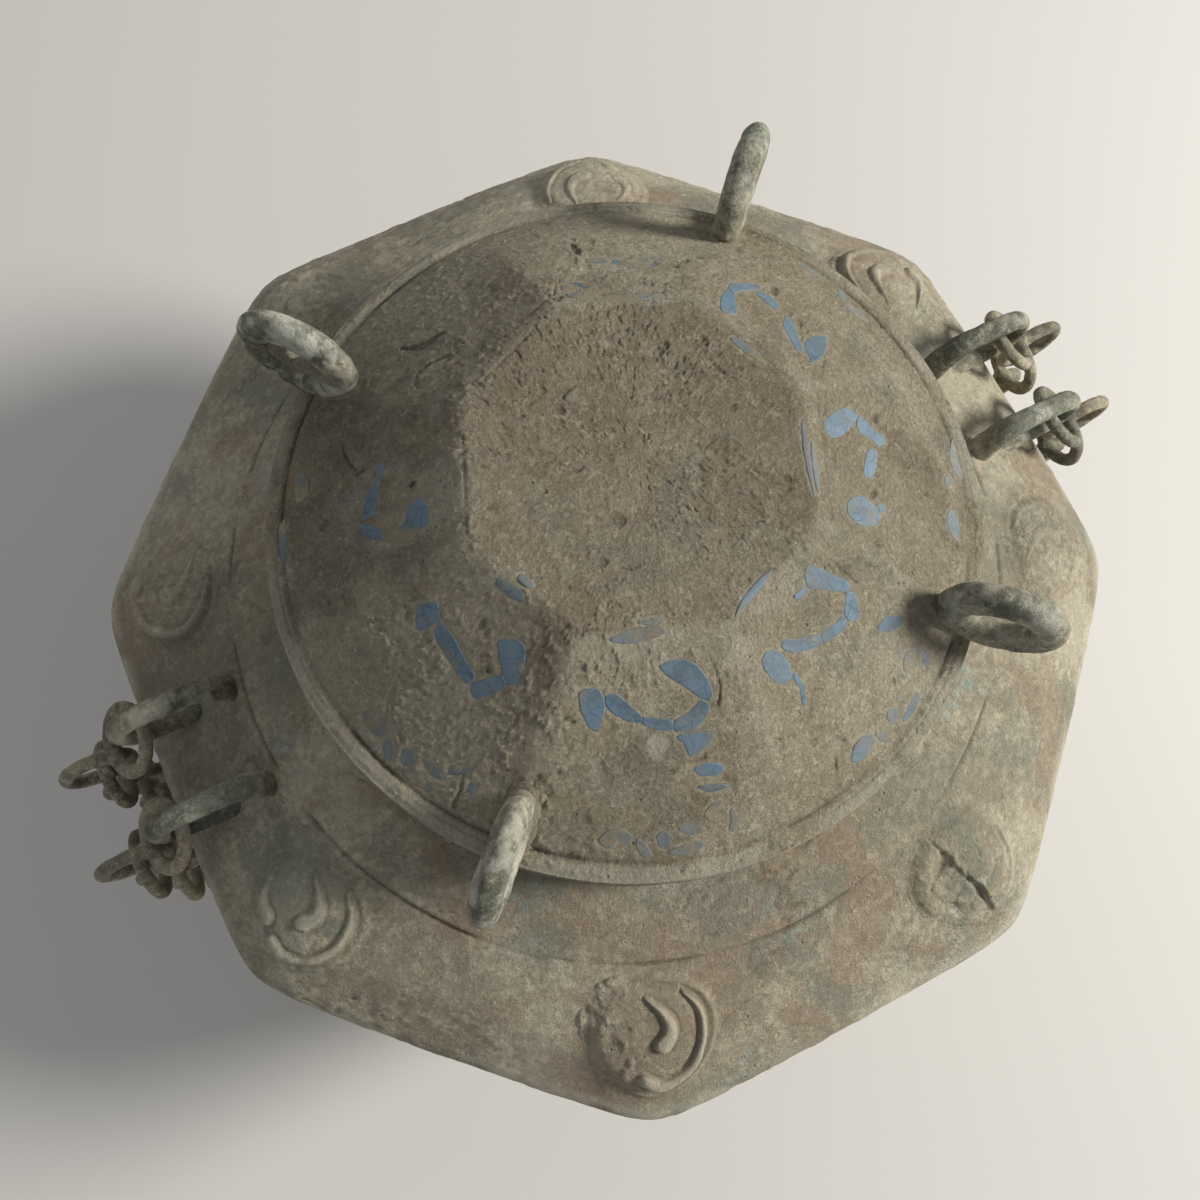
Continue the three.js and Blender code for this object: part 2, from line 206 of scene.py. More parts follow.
def grid_normals(points: Array, wrap: bool) -> Array:
    """Unit normals of a grid: the cross product of its two central differences.

    Args:
        points: rows by columns by 3.
        wrap: True if the last column meets the first.

    Returns:
        Normals in the grid's own order; they point out where rows climb and columns run anticlockwise.
    """
    down = np.gradient(points, axis=0)
    if wrap:
        along = np.roll(points, -1, axis=1) - np.roll(points, 1, axis=1)
    else:
        along = np.gradient(points, axis=1)
    normal = np.cross(along, down)
    length = np.linalg.norm(normal, axis=-1, keepdims=True)
    return normal / np.maximum(length, 1e-9)


def distance_to_strokes(x: Array, y: Array, strokes: list[Array]) -> Array:
    """Distance from points to the edge of tapered strokes, negative inside.

    For each piece of a stroke: distance to its centre line less the half width, blended between its ends.

    Args:
        x: first coordinate of each point.
        y: second coordinate of each point.
        strokes: each an array of rows x, y, half width.

    Returns:
        The least value over all the strokes.
    """
    best = np.full(np.shape(x), 1e3)
    for stroke in strokes:
        for (ax, ay, aw), (bx, by, bw) in zip(stroke[:-1], stroke[1:]):
            dx, dy = bx - ax, by - ay
            t = np.clip(((x - ax) * dx + (y - ay) * dy) / (dx * dx + dy * dy), 0.0, 1.0)
            reach = np.hypot(x - ax - t * dx, y - ay - t * dy) - (aw + t * (bw - aw))
            best = np.minimum(best, reach)
    return best


def rounded_line(points: list[tuple[float, ...]], steps: int) -> Array:
    """Curve through a few points (Catmull-Rom), sampled evenly between each two.

    Args:
        points: coordinates and any values to carry along.
        steps: samples from one point to the next.

    Returns:
        The sampled rows.
    """
    p = np.array(points, dtype=float)
    p = np.vstack([2 * p[0] - p[1], p, 2 * p[-1] - p[-2]])
    t = np.linspace(0.0, 1.0, steps, endpoint=False)[:, None]
    rows = []
    for i in range(1, len(p) - 2):
        a, b, c, d = p[i - 1], p[i], p[i + 1], p[i + 2]
        curve = 2 * b + (c - a) * t + (2 * a - 5 * b + 4 * c - d) * t**2 + (3 * b - a - 3 * c + d) * t**3
        rows.append(0.5 * curve)
    return np.vstack([*rows, p[-2:-1]])


def eased_outline(corners: Outline, rounds: int = 2, grow: float = 0.45, cut: float = 0.14) -> Array:
    """Closed outline, its corners cut off again and again and every point then moved out along its normal.

    Args:
        corners: the corners in order.
        rounds: how often the corners are cut.
        grow: how far the outline moves out, in millimetres.
        cut: share of each side that a cut takes from each end.

    Returns:
        The corners of the eased outline.
    """
    p = np.array(corners, dtype=float)
    for _ in range(rounds):
        q = np.roll(p, -1, axis=0)
        p = np.stack([p + (q - p) * cut, q - (q - p) * cut], axis=1).reshape(-1, 2)
    along = np.roll(p, -1, axis=0) - np.roll(p, 1, axis=0)
    out = np.stack([along[:, 1], -along[:, 0]], axis=1) / np.linalg.norm(along, axis=1, keepdims=True)
    area = np.sum(p[:, 0] * np.roll(p[:, 1], -1) - p[:, 1] * np.roll(p[:, 0], -1))
    return p + out * grow * np.sign(area)


def distance_to_outline(x: Array, y: Array, outline: Array) -> Array:
    """Distance from points to a closed outline, negative inside by the even-odd rule.

    Args:
        x: first coordinate of each point.
        y: second coordinate of each point.
        outline: corners by 2.

    Returns:
        One value for each point.
    """
    best = np.full(np.shape(x), 1e6)
    inside = np.zeros(np.shape(x), dtype=bool)
    for (ax, ay), (bx, by) in zip(outline, np.roll(outline, -1, axis=0)):
        dx, dy = bx - ax, by - ay
        t = np.clip(((x - ax) * dx + (y - ay) * dy) / (dx * dx + dy * dy + 1e-12), 0.0, 1.0)
        best = np.minimum(best, (x - ax - t * dx) ** 2 + (y - ay - t * dy) ** 2)
        inside ^= ((ay > y) != (by > y)) & (x < dx * (y - ay) / (by - ay + 1e-12) + ax)
    return np.where(inside, -1.0, 1.0) * np.sqrt(best)


class MeshMaker:
    """Puts numpy grids into Blender meshes."""

    merge_distance = 1e-7

    @staticmethod
    def grid_faces(rows: int, cols: int, wrap: bool) -> Array:
        """Four-cornered faces of a grid, turned to face along grid_normals.

        Args:
            rows: number of rows.
            cols: number of columns.
            wrap: True if the last column meets the first.

        Returns:
            Faces by four vertex numbers.
        """
        across = cols if wrap else cols - 1
        i, j = np.meshgrid(np.arange(rows - 1), np.arange(across), indexing="ij")
        here = i * cols + j
        right = i * cols + (j + 1) % cols
        return np.stack([here, right, right + cols, here + cols], axis=-1).reshape(-1, 4)

    @staticmethod
    def keep_marks(mesh: bpy.types.Mesh, marks: Marks) -> None:
        """Writes values for each vertex as mesh attributes.

        Args:
            mesh: the mesh.
            marks: values in the order of its vertices, by name.
        """
        for key, values in marks.items():
            layer = mesh.attributes.new(key, "FLOAT", "POINT")
            layer.data.foreach_set("value", np.asarray(values, dtype=np.float32).ravel())

    @staticmethod
    def place(name: str, data: bpy.types.ID) -> bpy.types.Object:
        """Puts a mesh, lamp or camera into the scene at the origin.

        Args:
            name: the object's name.
            data: what it shows.

        Returns:
            The new object.
        """
        made = bpy.data.objects.new(name, data)
        bpy.context.scene.collection.objects.link(made)
        return made

    @classmethod
    def join(cls, name: str, grids: list[Grid], marks: Marks | None = None) -> bpy.types.Object:
        """One object of several grids, with its places turned from millimetres to metres.

        Args:
            name: the object's name.
            grids: each a rows by columns by 3 array, and whether its columns close on themselves.
            marks: values for each vertex, in the order of the grids, kept as mesh attributes.

        Returns:
            The new object.
        """
        points, faces, start = [], [], 0
        for grid, wrap in grids:
            rows, cols = grid.shape[:2]
            points.append(grid.reshape(-1, 3))
            faces.append(cls.grid_faces(rows, cols, wrap) + start)
            start += rows * cols
        return cls.raw(name, np.vstack(points) * MM, np.vstack(faces), marks)

    @classmethod
    def raw(cls, name: str, points: Array, faces: Array, marks: Marks | None = None) -> bpy.types.Object:
        """One object from vertex places in metres and faces of one size; seams and poles are merged.

        Args:
            name: the object's name.
            points: vertices by 3.
            faces: faces by corners.
            marks: values for each vertex, kept as mesh attributes.

        Returns:
            The new object.
        """
        mesh = bpy.data.meshes.new(name)
        count, corners = faces.shape
        mesh.vertices.add(len(points))
        mesh.vertices.foreach_set("co", points.astype(np.float32).ravel())
        mesh.loops.add(count * corners)
        mesh.loops.foreach_set("vertex_index", faces.astype(np.int32).ravel())
        mesh.polygons.add(count)
        mesh.polygons.foreach_set("loop_start", np.arange(0, count * corners, corners, dtype=np.int32))
        mesh.polygons.foreach_set("use_smooth", np.ones(count, dtype=bool))
        mesh.update(calc_edges=True)
        cls.keep_marks(mesh, marks or {})
        work = bmesh.new()
        work.from_mesh(mesh)
        bmesh.ops.remove_doubles(work, verts=work.verts, dist=cls.merge_distance)
        work.to_mesh(mesh)
        work.free()
        return cls.place(name, mesh)


def sweep(path: Array, across: Array, half_across: Array, half_in: Array, sides: int, closed: bool) -> Array:
    """Grid of an oval bar along a flat path.

    At each path point the section is path + across * a * cos(s) + inward * b * sin(s).

    Args:
        path: points by 3.
        across: unit vector square to the path's plane.
        half_across: half size along `across` at each path point.
        half_in: half size in the path's plane at each path point.
        sides: points round the section.
        closed: True if the path ends where it starts.

    Returns:
        Path points by sides by 3; a closed path repeats its first row.
    """
    if closed:
        along = np.roll(path, -1, axis=0) - np.roll(path, 1, axis=0)
    else:
        along = np.gradient(path, axis=0)
    along /= np.linalg.norm(along, axis=1, keepdims=True)
    inward = np.cross(along, across)
    s = 2 * np.pi * np.arange(sides) / sides
    flat = across * (half_across[:, None] * np.cos(s))[..., None]
    tall = inward[:, None] * (half_in[:, None] * np.sin(s))[..., None]
    grid = path[:, None] + flat + tall
    return np.vstack([grid, grid[:1]]) if closed else grid


class Wiring:
    """Adds nodes to a tree and joins them, so that a finish reads as a list of steps."""

    def __init__(self, tree: bpy.types.NodeTree) -> None:
        """Keeps the tree that nodes are added to."""
        self.tree = tree

    def node(self, kind: str, **settings: object) -> bpy.types.Node:
        """Adds a node and sets its own properties.

        Args:
            kind: Blender's name of the node's type.
            settings: properties of the node.

        Returns:
            The new node.
        """
        made = self.tree.nodes.new(kind)
        for key, value in settings.items():
            setattr(made, key, value)
        return made

    def put(self, socket: Socket, value: object) -> None:
        """Joins a socket to another, or sets its plain value.

        Args:
            socket: the input.
            value: an output socket, a number or a colour.
        """
        if isinstance(value, bpy.types.NodeSocket):
            self.tree.links.new(value, socket)
        else:
            socket.default_value = value

    def fill(self, node: bpy.types.Node, values: dict[object, object]) -> None:
        """Puts a value into each input of a node, by name or number."""
        for key, value in values.items():
            self.put(node.inputs[key], value)

    def wired(self, kind: str, output: object, values: dict[object, object], **settings: object) -> Socket:
        """Adds a node, fills its inputs and gives one of its outputs.

        Args:
            kind: Blender's name of the node's type.
            output: name or number of the output.
            values: what goes into its inputs, by name or number.
            settings: properties of the node.

        Returns:
            The output socket.
        """
        made = self.node(kind, **settings)
        self.fill(made, values)
        return made.outputs[output]

    def noise(
        self, vector: object, scale: object, detail: float = 3.0, rough: float = 0.55, warp: float = 0.0
    ) -> Socket:
        """Noise value at a place, by cells to the metre, finer layers, their strength and a warp."""
        values = {"Vector": vector, "Scale": scale, "Detail": detail, "Roughness": rough, "Distortion": warp}
        return self.wired("ShaderNodeTexNoise", "Fac", values)

    def range(
        self, value: object, low: object, high: object, out_low: float = 0.0, out_high: float = 1.0
    ) -> Socket:
        """Smooth ramp of a value, from one result at its low limit to another at its high one."""
        values = {"Value": value, "From Min": low, "From Max": high, "To Min": out_low, "To Max": out_high}
        return self.wired("ShaderNodeMapRange", "Result", values, interpolation_type="SMOOTHSTEP")

    def maths(self, operation: str, a: object, b: object) -> Socket:
        """Result of one arithmetic step on two values."""
        return self.wired("ShaderNodeMath", 0, {0: a, 1: b}, operation=operation)

    def times(self, a: object, b: object) -> Socket:
        """Product of two values."""
        return self.maths("MULTIPLY", a, b)

    def plus(self, a: object, b: object) -> Socket:
        """Sum of two values."""
        return self.maths("ADD", a, b)

    def blend(self, factor: object, a: object, b: object, mode: str = "MIX") -> Socket:
        """Colour b over colour a by a factor."""
        return self.wired("ShaderNodeMix", 2, {0: factor, 6: a, 7: b}, data_type="RGBA", blend_type=mode)

    def over(self, mask: object, weight: float, under: object, code: str) -> Socket:
        """A written colour laid over another by a mask times a weight."""
        return self.blend(self.times(mask, weight), under, linear(code))

    def shift(self, vector: object, offset: object) -> Socket:
        """A vector moved by an offset, fixed or varying."""
        return self.wired("ShaderNodeVectorMath", 0, {0: vector, 1: offset}, operation="ADD")

    def attribute(self, name: str) -> Socket:
        """A mesh attribute's value."""
        return self.wired("ShaderNodeAttribute", "Fac", {}, attribute_name=name)

    def group(self, tree: bpy.types.NodeTree, **values: object) -> bpy.types.Node:
        """Places a node group.

        Args:
            tree: the group.
            values: what goes into its inputs, by name.

        Returns:
            The node that holds it.
        """
        made = self.node("ShaderNodeGroup", node_tree=tree)
        self.fill(made, values)
        return made

    def bump(self, shader: bpy.types.Node, height: object, strength: float, distance: float) -> None:
        """Gives a shader a bumpy normal.

        Args:
            shader: the shader.
            height: height over the surface, 0 to 1.
            strength: how much of the bump is used.
            distance: what a height of one stands for, in metres.
        """
        made = self.node("ShaderNodeBump")
        self.fill(made, {"Strength": strength, "Distance": distance, "Height": height})
        self.put(shader.inputs["Normal"], made.outputs["Normal"])


class SharedEffects:
    """Node groups that more than one finish uses."""

    def __init__(self) -> None:
        """Builds every group once."""
        self.stain = self._stain()
        self.crust = self._crust()
        self.pits = self._pits()

    @staticmethod
    def _new(
        name: str, inputs: dict[str, float], outputs: list[str]
    ) -> tuple[bpy.types.NodeTree, Wiring, bpy.types.Node, bpy.types.Node]:
        """Starts a group with a Vector input, named numbers in and named numbers out.

        Args:
            name: the group's name.
            inputs: its numbers and their first values.
            outputs: names of what it puts out.

        Returns:
            The group, its wiring, its input node and its output node.
        """
        tree = bpy.data.node_groups.new(name, "ShaderNodeTree")
        tree.interface.new_socket("Vector", in_out="INPUT", socket_type="NodeSocketVector")
        for key, value in inputs.items():
            socket = tree.interface.new_socket(key, in_out="INPUT", socket_type="NodeSocketFloat")
            socket.default_value = value
        for key in outputs:
            tree.interface.new_socket(key, in_out="OUTPUT", socket_type="NodeSocketFloat")
        wire = Wiring(tree)
        return tree, wire, wire.node("NodeGroupInput"), wire.node("NodeGroupOutput")

    def _stain(self) -> bpy.types.NodeTree:
        """Soft-edged patches: warped noise over a threshold, frayed by a finer noise.

        Returns:
            The group.
        """
        inputs = {"Scale": 20.0, "Level": 0.5, "Softness": 0.08, "Fray": 0.12}
        tree, wire, into, out = self._new("stain", inputs, ["Mask"])
        place, scale, level = (into.outputs[key] for key in ("Vector", "Scale", "Level"))
        broad = wire.noise(place, scale, 5.0, 0.6, 0.4)
        fine = wire.noise(place, wire.times(scale, 14.0), 4.0, 0.7)
        fray = wire.times(wire.maths("SUBTRACT", fine, 0.5), into.outputs["Fray"])
        high = wire.plus(level, into.outputs["Softness"])
        wire.put(out.inputs["Mask"], wire.range(wire.plus(broad, fray), level, high))
        return tree

    def _crust(self) -> bpy.types.NodeTree:
        """Grainy soil: clods, fine lumps and sand grains, as a height and a grain mask.

        Returns:
            The group.
        """
        tree, wire, into, out = self._new("crust", {"Scale": 260.0, "Grain": 1500.0}, ["Height", "Grains"])
        place, scale = into.outputs["Vector"], into.outputs["Scale"]
        lumps = wire.noise(place, scale, 7.0, 0.78)
        grains = wire.noise(place, into.outputs["Grain"], 3.0, 0.7)
        clods = wire.range(wire.noise(place, wire.times(scale, 0.55), 6.0, 0.74), 0.52, 0.6)
        height = wire.plus(wire.times(lumps, 0.58), wire.times(grains, 0.3))
        wire.put(out.inputs["Height"], wire.plus(height, wire.times(clods, 0.13)))
        wire.put(out.inputs["Grains"], wire.range(wire.plus(grains, wire.times(clods, 0.15)), 0.5, 0.8))
        return tree

    def _pits(self) -> bpy.types.NodeTree:
        """Small corrosion pits at random cell centres, only where a broad noise is high.

        Returns:
            The group.
        """
        tree, wire, into, out = self._new("pits", {"Scale": 300.0, "Reach": 0.22, "Share": 0.55}, ["Pit"])
        place, scale, share = (into.outputs[key] for key in ("Vector", "Scale", "Share"))
        away = wire.wired("ShaderNodeTexVoronoi", "Distance", {"Vector": place, "Scale": scale}, feature="F1")
        holes = wire.range(away, into.outputs["Reach"], 0.02)
        where = wire.range(wire.noise(place, wire.times(scale, 0.16), 2.0), share, wire.plus(share, 0.12))
        wire.put(out.inputs["Pit"], wire.times(holes, where))
        return tree

    def stained(
        self, wire: Wiring, vector: object, scale: float, level: float, softness: float, fray: float
    ) -> Socket:
        """Mask of the stain group, placed in a material with its own values."""
        values = {"Vector": vector, "Scale": scale, "Level": level, "Softness": softness, "Fray": fray}
        return wire.group(self.stain, **values).outputs["Mask"]


def start_material(name: str) -> tuple[bpy.types.Material, bpy.types.Node, Wiring]:
    """New material with its plain shader.

    Args:
        name: the material's name.

    Returns:
        The material, its Principled shader and its wiring.
    """
    material = bpy.data.materials.new(name)
    material.use_nodes = True
    return material, material.node_tree.nodes["Principled BSDF"], Wiring(material.node_tree)


@dataclass(frozen=True)
class PatinaFinish:
    """Bronze long in the ground: soil film and crust over green-grey corrosion."""

    name: str
    soil: str = "958c77"
    soil_light: str = "b5ad96"
    under: str = "7c8070"
    blush: str = "94806b"
    bloom: str = "93a49c"
    pale: str = "cdc8b4"
    dark: str = "2b251c"
    film: float = 0.5
    film_strength: float = 0.55
    bloom_share: float = 0.62
    bloom_strength: float = 0.6
    blush_strength: float = 0.56
    speck_strength: float = 0.14
    crust_strength: float = 0.3
    pale_strength: float = 0.6
    pit_strength: float = 0.45
    hollow_strength: float = 0.8
    relief: float = 0.8
    relief_height: float = 0.004
    contrast: float = 1.0
    metal: float = 0.0
    grain_size: float = 1250.0
    lump_size: float = 420.0

    def build(self, effects: SharedEffects) -> bpy.types.Material:
        """Makes the material.

        Args:
            effects: the shared node groups.

        Returns:
            The material, on object coordinates and a mesh's marks `hollow`, `crust`, `pale` and `brown`.
        """
        material, shader, wire = start_material(self.name)
        place = wire.node("ShaderNodeTexCoord").outputs["Object"]
        broad = effects.stained(wire, place, 15.0, 0.42, 0.2, 0.35)
        film = effects.stained(wire, wire.shift(place, (1.7, 0.4, 0.9)), 30.0, self.film, 0.12, 0.4)
        bloom = effects.stained(wire, wire.shift(place, (0.2, 4.4, 1.3)), 20.0, self.bloom_share, 0.1, 0.5)
        specks = effects.stained(wire, wire.shift(place, (5.0, 1.0, 2.0)), 170.0, 0.6, 0.06, 0.35)
        crust = wire.group(effects.crust, Vector=place, Scale=self.lump_size, Grain=self.grain_size)
        pits = wire.group(effects.pits, Vector=place, Scale=420.0, Reach=0.3, Share=0.58).outputs["Pit"]
        lumps, grains = crust.outputs["Height"], crust.outputs["Grains"]
        colour = wire.blend(broad, linear(self.soil), linear(self.soil_light))
        colour = wire.over(wire.attribute("brown"), self.blush_strength, colour, self.blush)
        colour = wire.over(film, self.film_strength, colour, self.under)
        colour = wire.over(bloom, self.bloom_strength, colour, self.bloom)
        colour = wire.over(specks, self.speck_strength, colour, self.pale)
        colour = wire.over(wire.attribute("crust"), self.crust_strength, colour, self.soil_light)
        # Painted shade and light on the crust: the colour is multiplied down where the lumps are low and up
        # where they are high, scaled by contrast.
        shade = wire.range(lumps, 0.34, 0.64, 1.0 - 0.34 * self.contrast, 1.0 + 0.16 * self.contrast)
        tint = wire.node("ShaderNodeCombineColor")
        for socket in tint.inputs[:3]:
            wire.put(socket, shade)
        colour = wire.blend(1.0, colour, tint.outputs[0], "MULTIPLY")
        colour = wire.over(grains, 0.16 * self.contrast, colour, self.pale)
        colour = wire.over(wire.attribute("pale"), self.pale_strength, colour, self.pale)
        # The hollow mark and the pits pull the colour towards dark in cuts, cracks and pits; on the bosses'
        # ditches and cracks and on the lid's side away from the key lamp this darkening is painted shade.
        hollow = wire.maths("MAXIMUM", wire.attribute("hollow"), wire.times(pits, self.pit_strength))
        colour = wire.over(hollow, self.hollow_strength, colour, self.dark)
        wire.put(shader.inputs["Base Color"], colour)
        wire.put(shader.inputs["Roughness"], wire.range(wire.plus(film, lumps), 0.2, 1.6, 0.96, 0.7))
        shader.inputs["Metallic"].default_value = self.metal
        shader.inputs["Specular IOR Level"].default_value = 0.3
        lift = wire.maths("SUBTRACT", lumps, wire.times(pits, 0.55))
        wire.bump(shader, wire.plus(lift, wire.times(specks, 0.1)), self.relief, self.relief_height)
        return material


@dataclass(frozen=True)
class InlayFinish:
    """Dull blue inlay with hair cracks, paler worn edges and soil left on it."""

    name: str = "blue_inlay"
    blue: str = "567285"
    deep: str = "415a6a"
    chalk: str = "7f8d8e"
    crack: str = "2c4250"
    soil: str = "7c735f"
    soil_light: str = "988e78"
    drift_size: float = 260.0
    drift: float = 0.0022
    crack_size: float = 190.0
    relief: float = 0.5
    relief_height: float = 0.0008

    def build(self, effects: SharedEffects) -> bpy.types.Material:
        """Makes the material.

        Args:
            effects: the shared node groups.

        Returns:
            The material, on object coordinates and the marks `edge` and `buried` of a mesh.
        """
        material, shader, wire = start_material(self.name)
        place = wire.node("ShaderNodeTexCoord").outputs["Object"]
        cloud = effects.stained(wire, place, 60.0, 0.42, 0.2, 0.3)
        colour = wire.blend(cloud, linear(self.blue), linear(self.deep))
        colour = wire.over(wire.attribute("edge"), 0.8, colour, self.chalk)
        drift = wire.wired("ShaderNodeTexNoise", "Color", {"Vector": place, "Scale": self.drift_size})
        drift = wire.wired("ShaderNodeVectorMath", 0, {0: drift, "Scale": self.drift}, operation="SCALE")
        where = {"Vector": wire.shift(place, drift), "Scale": self.crack_size}
        away = wire.wired("ShaderNodeTexVoronoi", "Distance", where, feature="DISTANCE_TO_EDGE")
        cracks = wire.range(away, 0.035, 0.008)
        colour = wire.over(cracks, 0.55, colour, self.crack)
        grime = effects.stained(wire, wire.shift(place, (2.0, 0.7, 0.1)), 85.0, 0.57, 0.07, 0.5)
        cover = wire.maths("MAXIMUM", wire.times(grime, 0.6), wire.attribute("buried"))
        crust = wire.group(effects.crust, Vector=place, Scale=420.0, Grain=1900.0)
        soil = wire.blend(crust.outputs["Grains"], linear(self.soil), linear(self.soil_light))
        wire.put(shader.inputs["Base Color"], wire.blend(cover, colour, soil))
        wire.put(shader.inputs["Roughness"], wire.range(cover, 0.0, 1.0, 0.6, 0.94))
        shader.inputs["Metallic"].default_value = 0.0
        lift = wire.times(crust.outputs["Height"], wire.range(cover, 0.0, 1.0, 0.14, 1.0))
        lift = wire.maths("SUBTRACT", lift, wire.times(cracks, 0.08))
        wire.bump(shader, lift, self.relief, self.relief_height)
        return material


@dataclass
class Finishes:
    """Every material of the container."""

    effects: SharedEffects = field(default_factory=SharedEffects)
    vessel: bpy.types.Material = field(init=False)
    inside: bpy.types.Material = field(init=False)
    lid: bpy.types.Material = field(init=False)
    ring: bpy.types.Material = field(init=False)
    chain: bpy.types.Material = field(init=False)
    inlay: bpy.types.Material = field(init=False)

    def __post_init__(self) -> None:
        """Builds the materials once."""
        worn = {"film_strength": 0.8, "bloom": "8f9686", "relief": 0.5}
        plans = {
            "vessel": PatinaFinish("vessel_patina", contrast=0.7, relief=0.62, film_strength=0.6),
            "inside": PatinaFinish(
                "inside_patina", soil="6f6a58", soil_light="857f6b", under="4d5549", film=0.42,
                bloom="6f8f82", bloom_share=0.56,
            ),
            "lid": PatinaFinish(
                "lid_patina", soil="aca086", soil_light="c6bca3", under="8b8a75", blush="80705a", film=0.54,
                relief=1.0, bloom_share=0.66, contrast=0.95, lump_size=640.0, grain_size=1050.0,
            ),
            "ring": PatinaFinish(
                "ring_patina", soil="85806c", soil_light="a9a591", under="555a4c", pale="dcd9ca", film=0.44,
                bloom_share=0.58, metal=0.12, **worn,
            ),
            "chain": PatinaFinish(
                "chain_patina", soil="a1967e", soil_light="b9b09a", under="6a6a5b", pale="d8d4c4", film=0.42,
                bloom_share=0.6, metal=0.15, **worn,
            ),
            "inlay": InlayFinish(),
        }
        for name, plan in plans.items():
            setattr(self, name, plan.build(self.effects))


def face_outwards(grid: Array, marks: Marks, normals: Array, row: int) -> tuple[Array, Marks]:
    """Turns a grid round where its faces would point inwards.

    Args:
        grid: rows by columns by 3.
        marks: values for each of its places.
        normals: outward directions of its places.
        row: the row whose first face is tested.

    Returns:
        The grid and its marks, in the order that makes its faces point outwards.
    """
    face = np.cross(grid[row, 1] - grid[row, 0], grid[row + 1, 0] - grid[row, 0])
    if np.dot(face, normals[row, 0]) < 0:
        return grid[:, ::-1], {key: value[:, ::-1] for key, value in marks.items()}
    return grid, marks


def dress(piece: bpy.types.Object, material: bpy.types.Material, body: str, slot: Slot, *nodes: str) -> None:
    """Gives a piece its material and body, and hides the nodes that it stands for.

    Args:
        piece: the finished object.
        material: its finish.
        body: the body it moves with.
        slot: the record's material slot; not used.
        nodes: the nodes of the part that it stands for.
    """
    piece.data.materials.append(material)
    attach(piece, body)
    if nodes:
        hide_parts(*nodes)
    LOG.info("%s: %d faces on %s", piece.name, len(piece.data.polygons), body)


def resample(rows: Array, count: int, soften: float, dense_count: int = 1200) -> Array:
    """Even samples along a profile, its corners eased by a running mean.

    Args:
        rows: apothem, height and squareness at each corner.
        count: how many samples.
        soften: length over which corners are eased, in millimetres.
        dense_count: samples that the running mean works on.

    Returns:
        The samples.
    """
    length = np.concatenate([[0.0], np.cumsum(np.hypot(*np.diff(rows[:, :2], axis=0).T))])
    fine = np.linspace(0.0, length[-1], dense_count)
    dense = np.stack([np.interp(fine, length, rows[:, i]) for i in range(3)], axis=1)
    half = max(int(soften / (fine[1] - fine[0]) / 2), 1)
    before = 2 * dense[:1] - dense[half:0:-1]
    after = 2 * dense[-1:] - dense[-2 : -half - 2 : -1]
    padded = np.concatenate([before, dense, after])
    window = np.ones(2 * half + 1) / (2 * half + 1)
    eased = np.stack([np.convolve(padded[:, i], window, mode="valid") for i in range(3)], axis=1)
    return eased[np.linspace(0, dense_count - 1, count).round().astype(int)]


def carry_round(rows: Array, degrees: Array, turn: float = 0.0) -> Array:
    """Grid of a profile carried round the axis: radius is apothem * (1 + squareness * (octagon - 1))."""
    factor = 1.0 + rows[:, 2:3] * (octagon(degrees - turn) - 1.0)
    return polar(rows[:, :1] * factor, degrees, rows[:, 1:2])


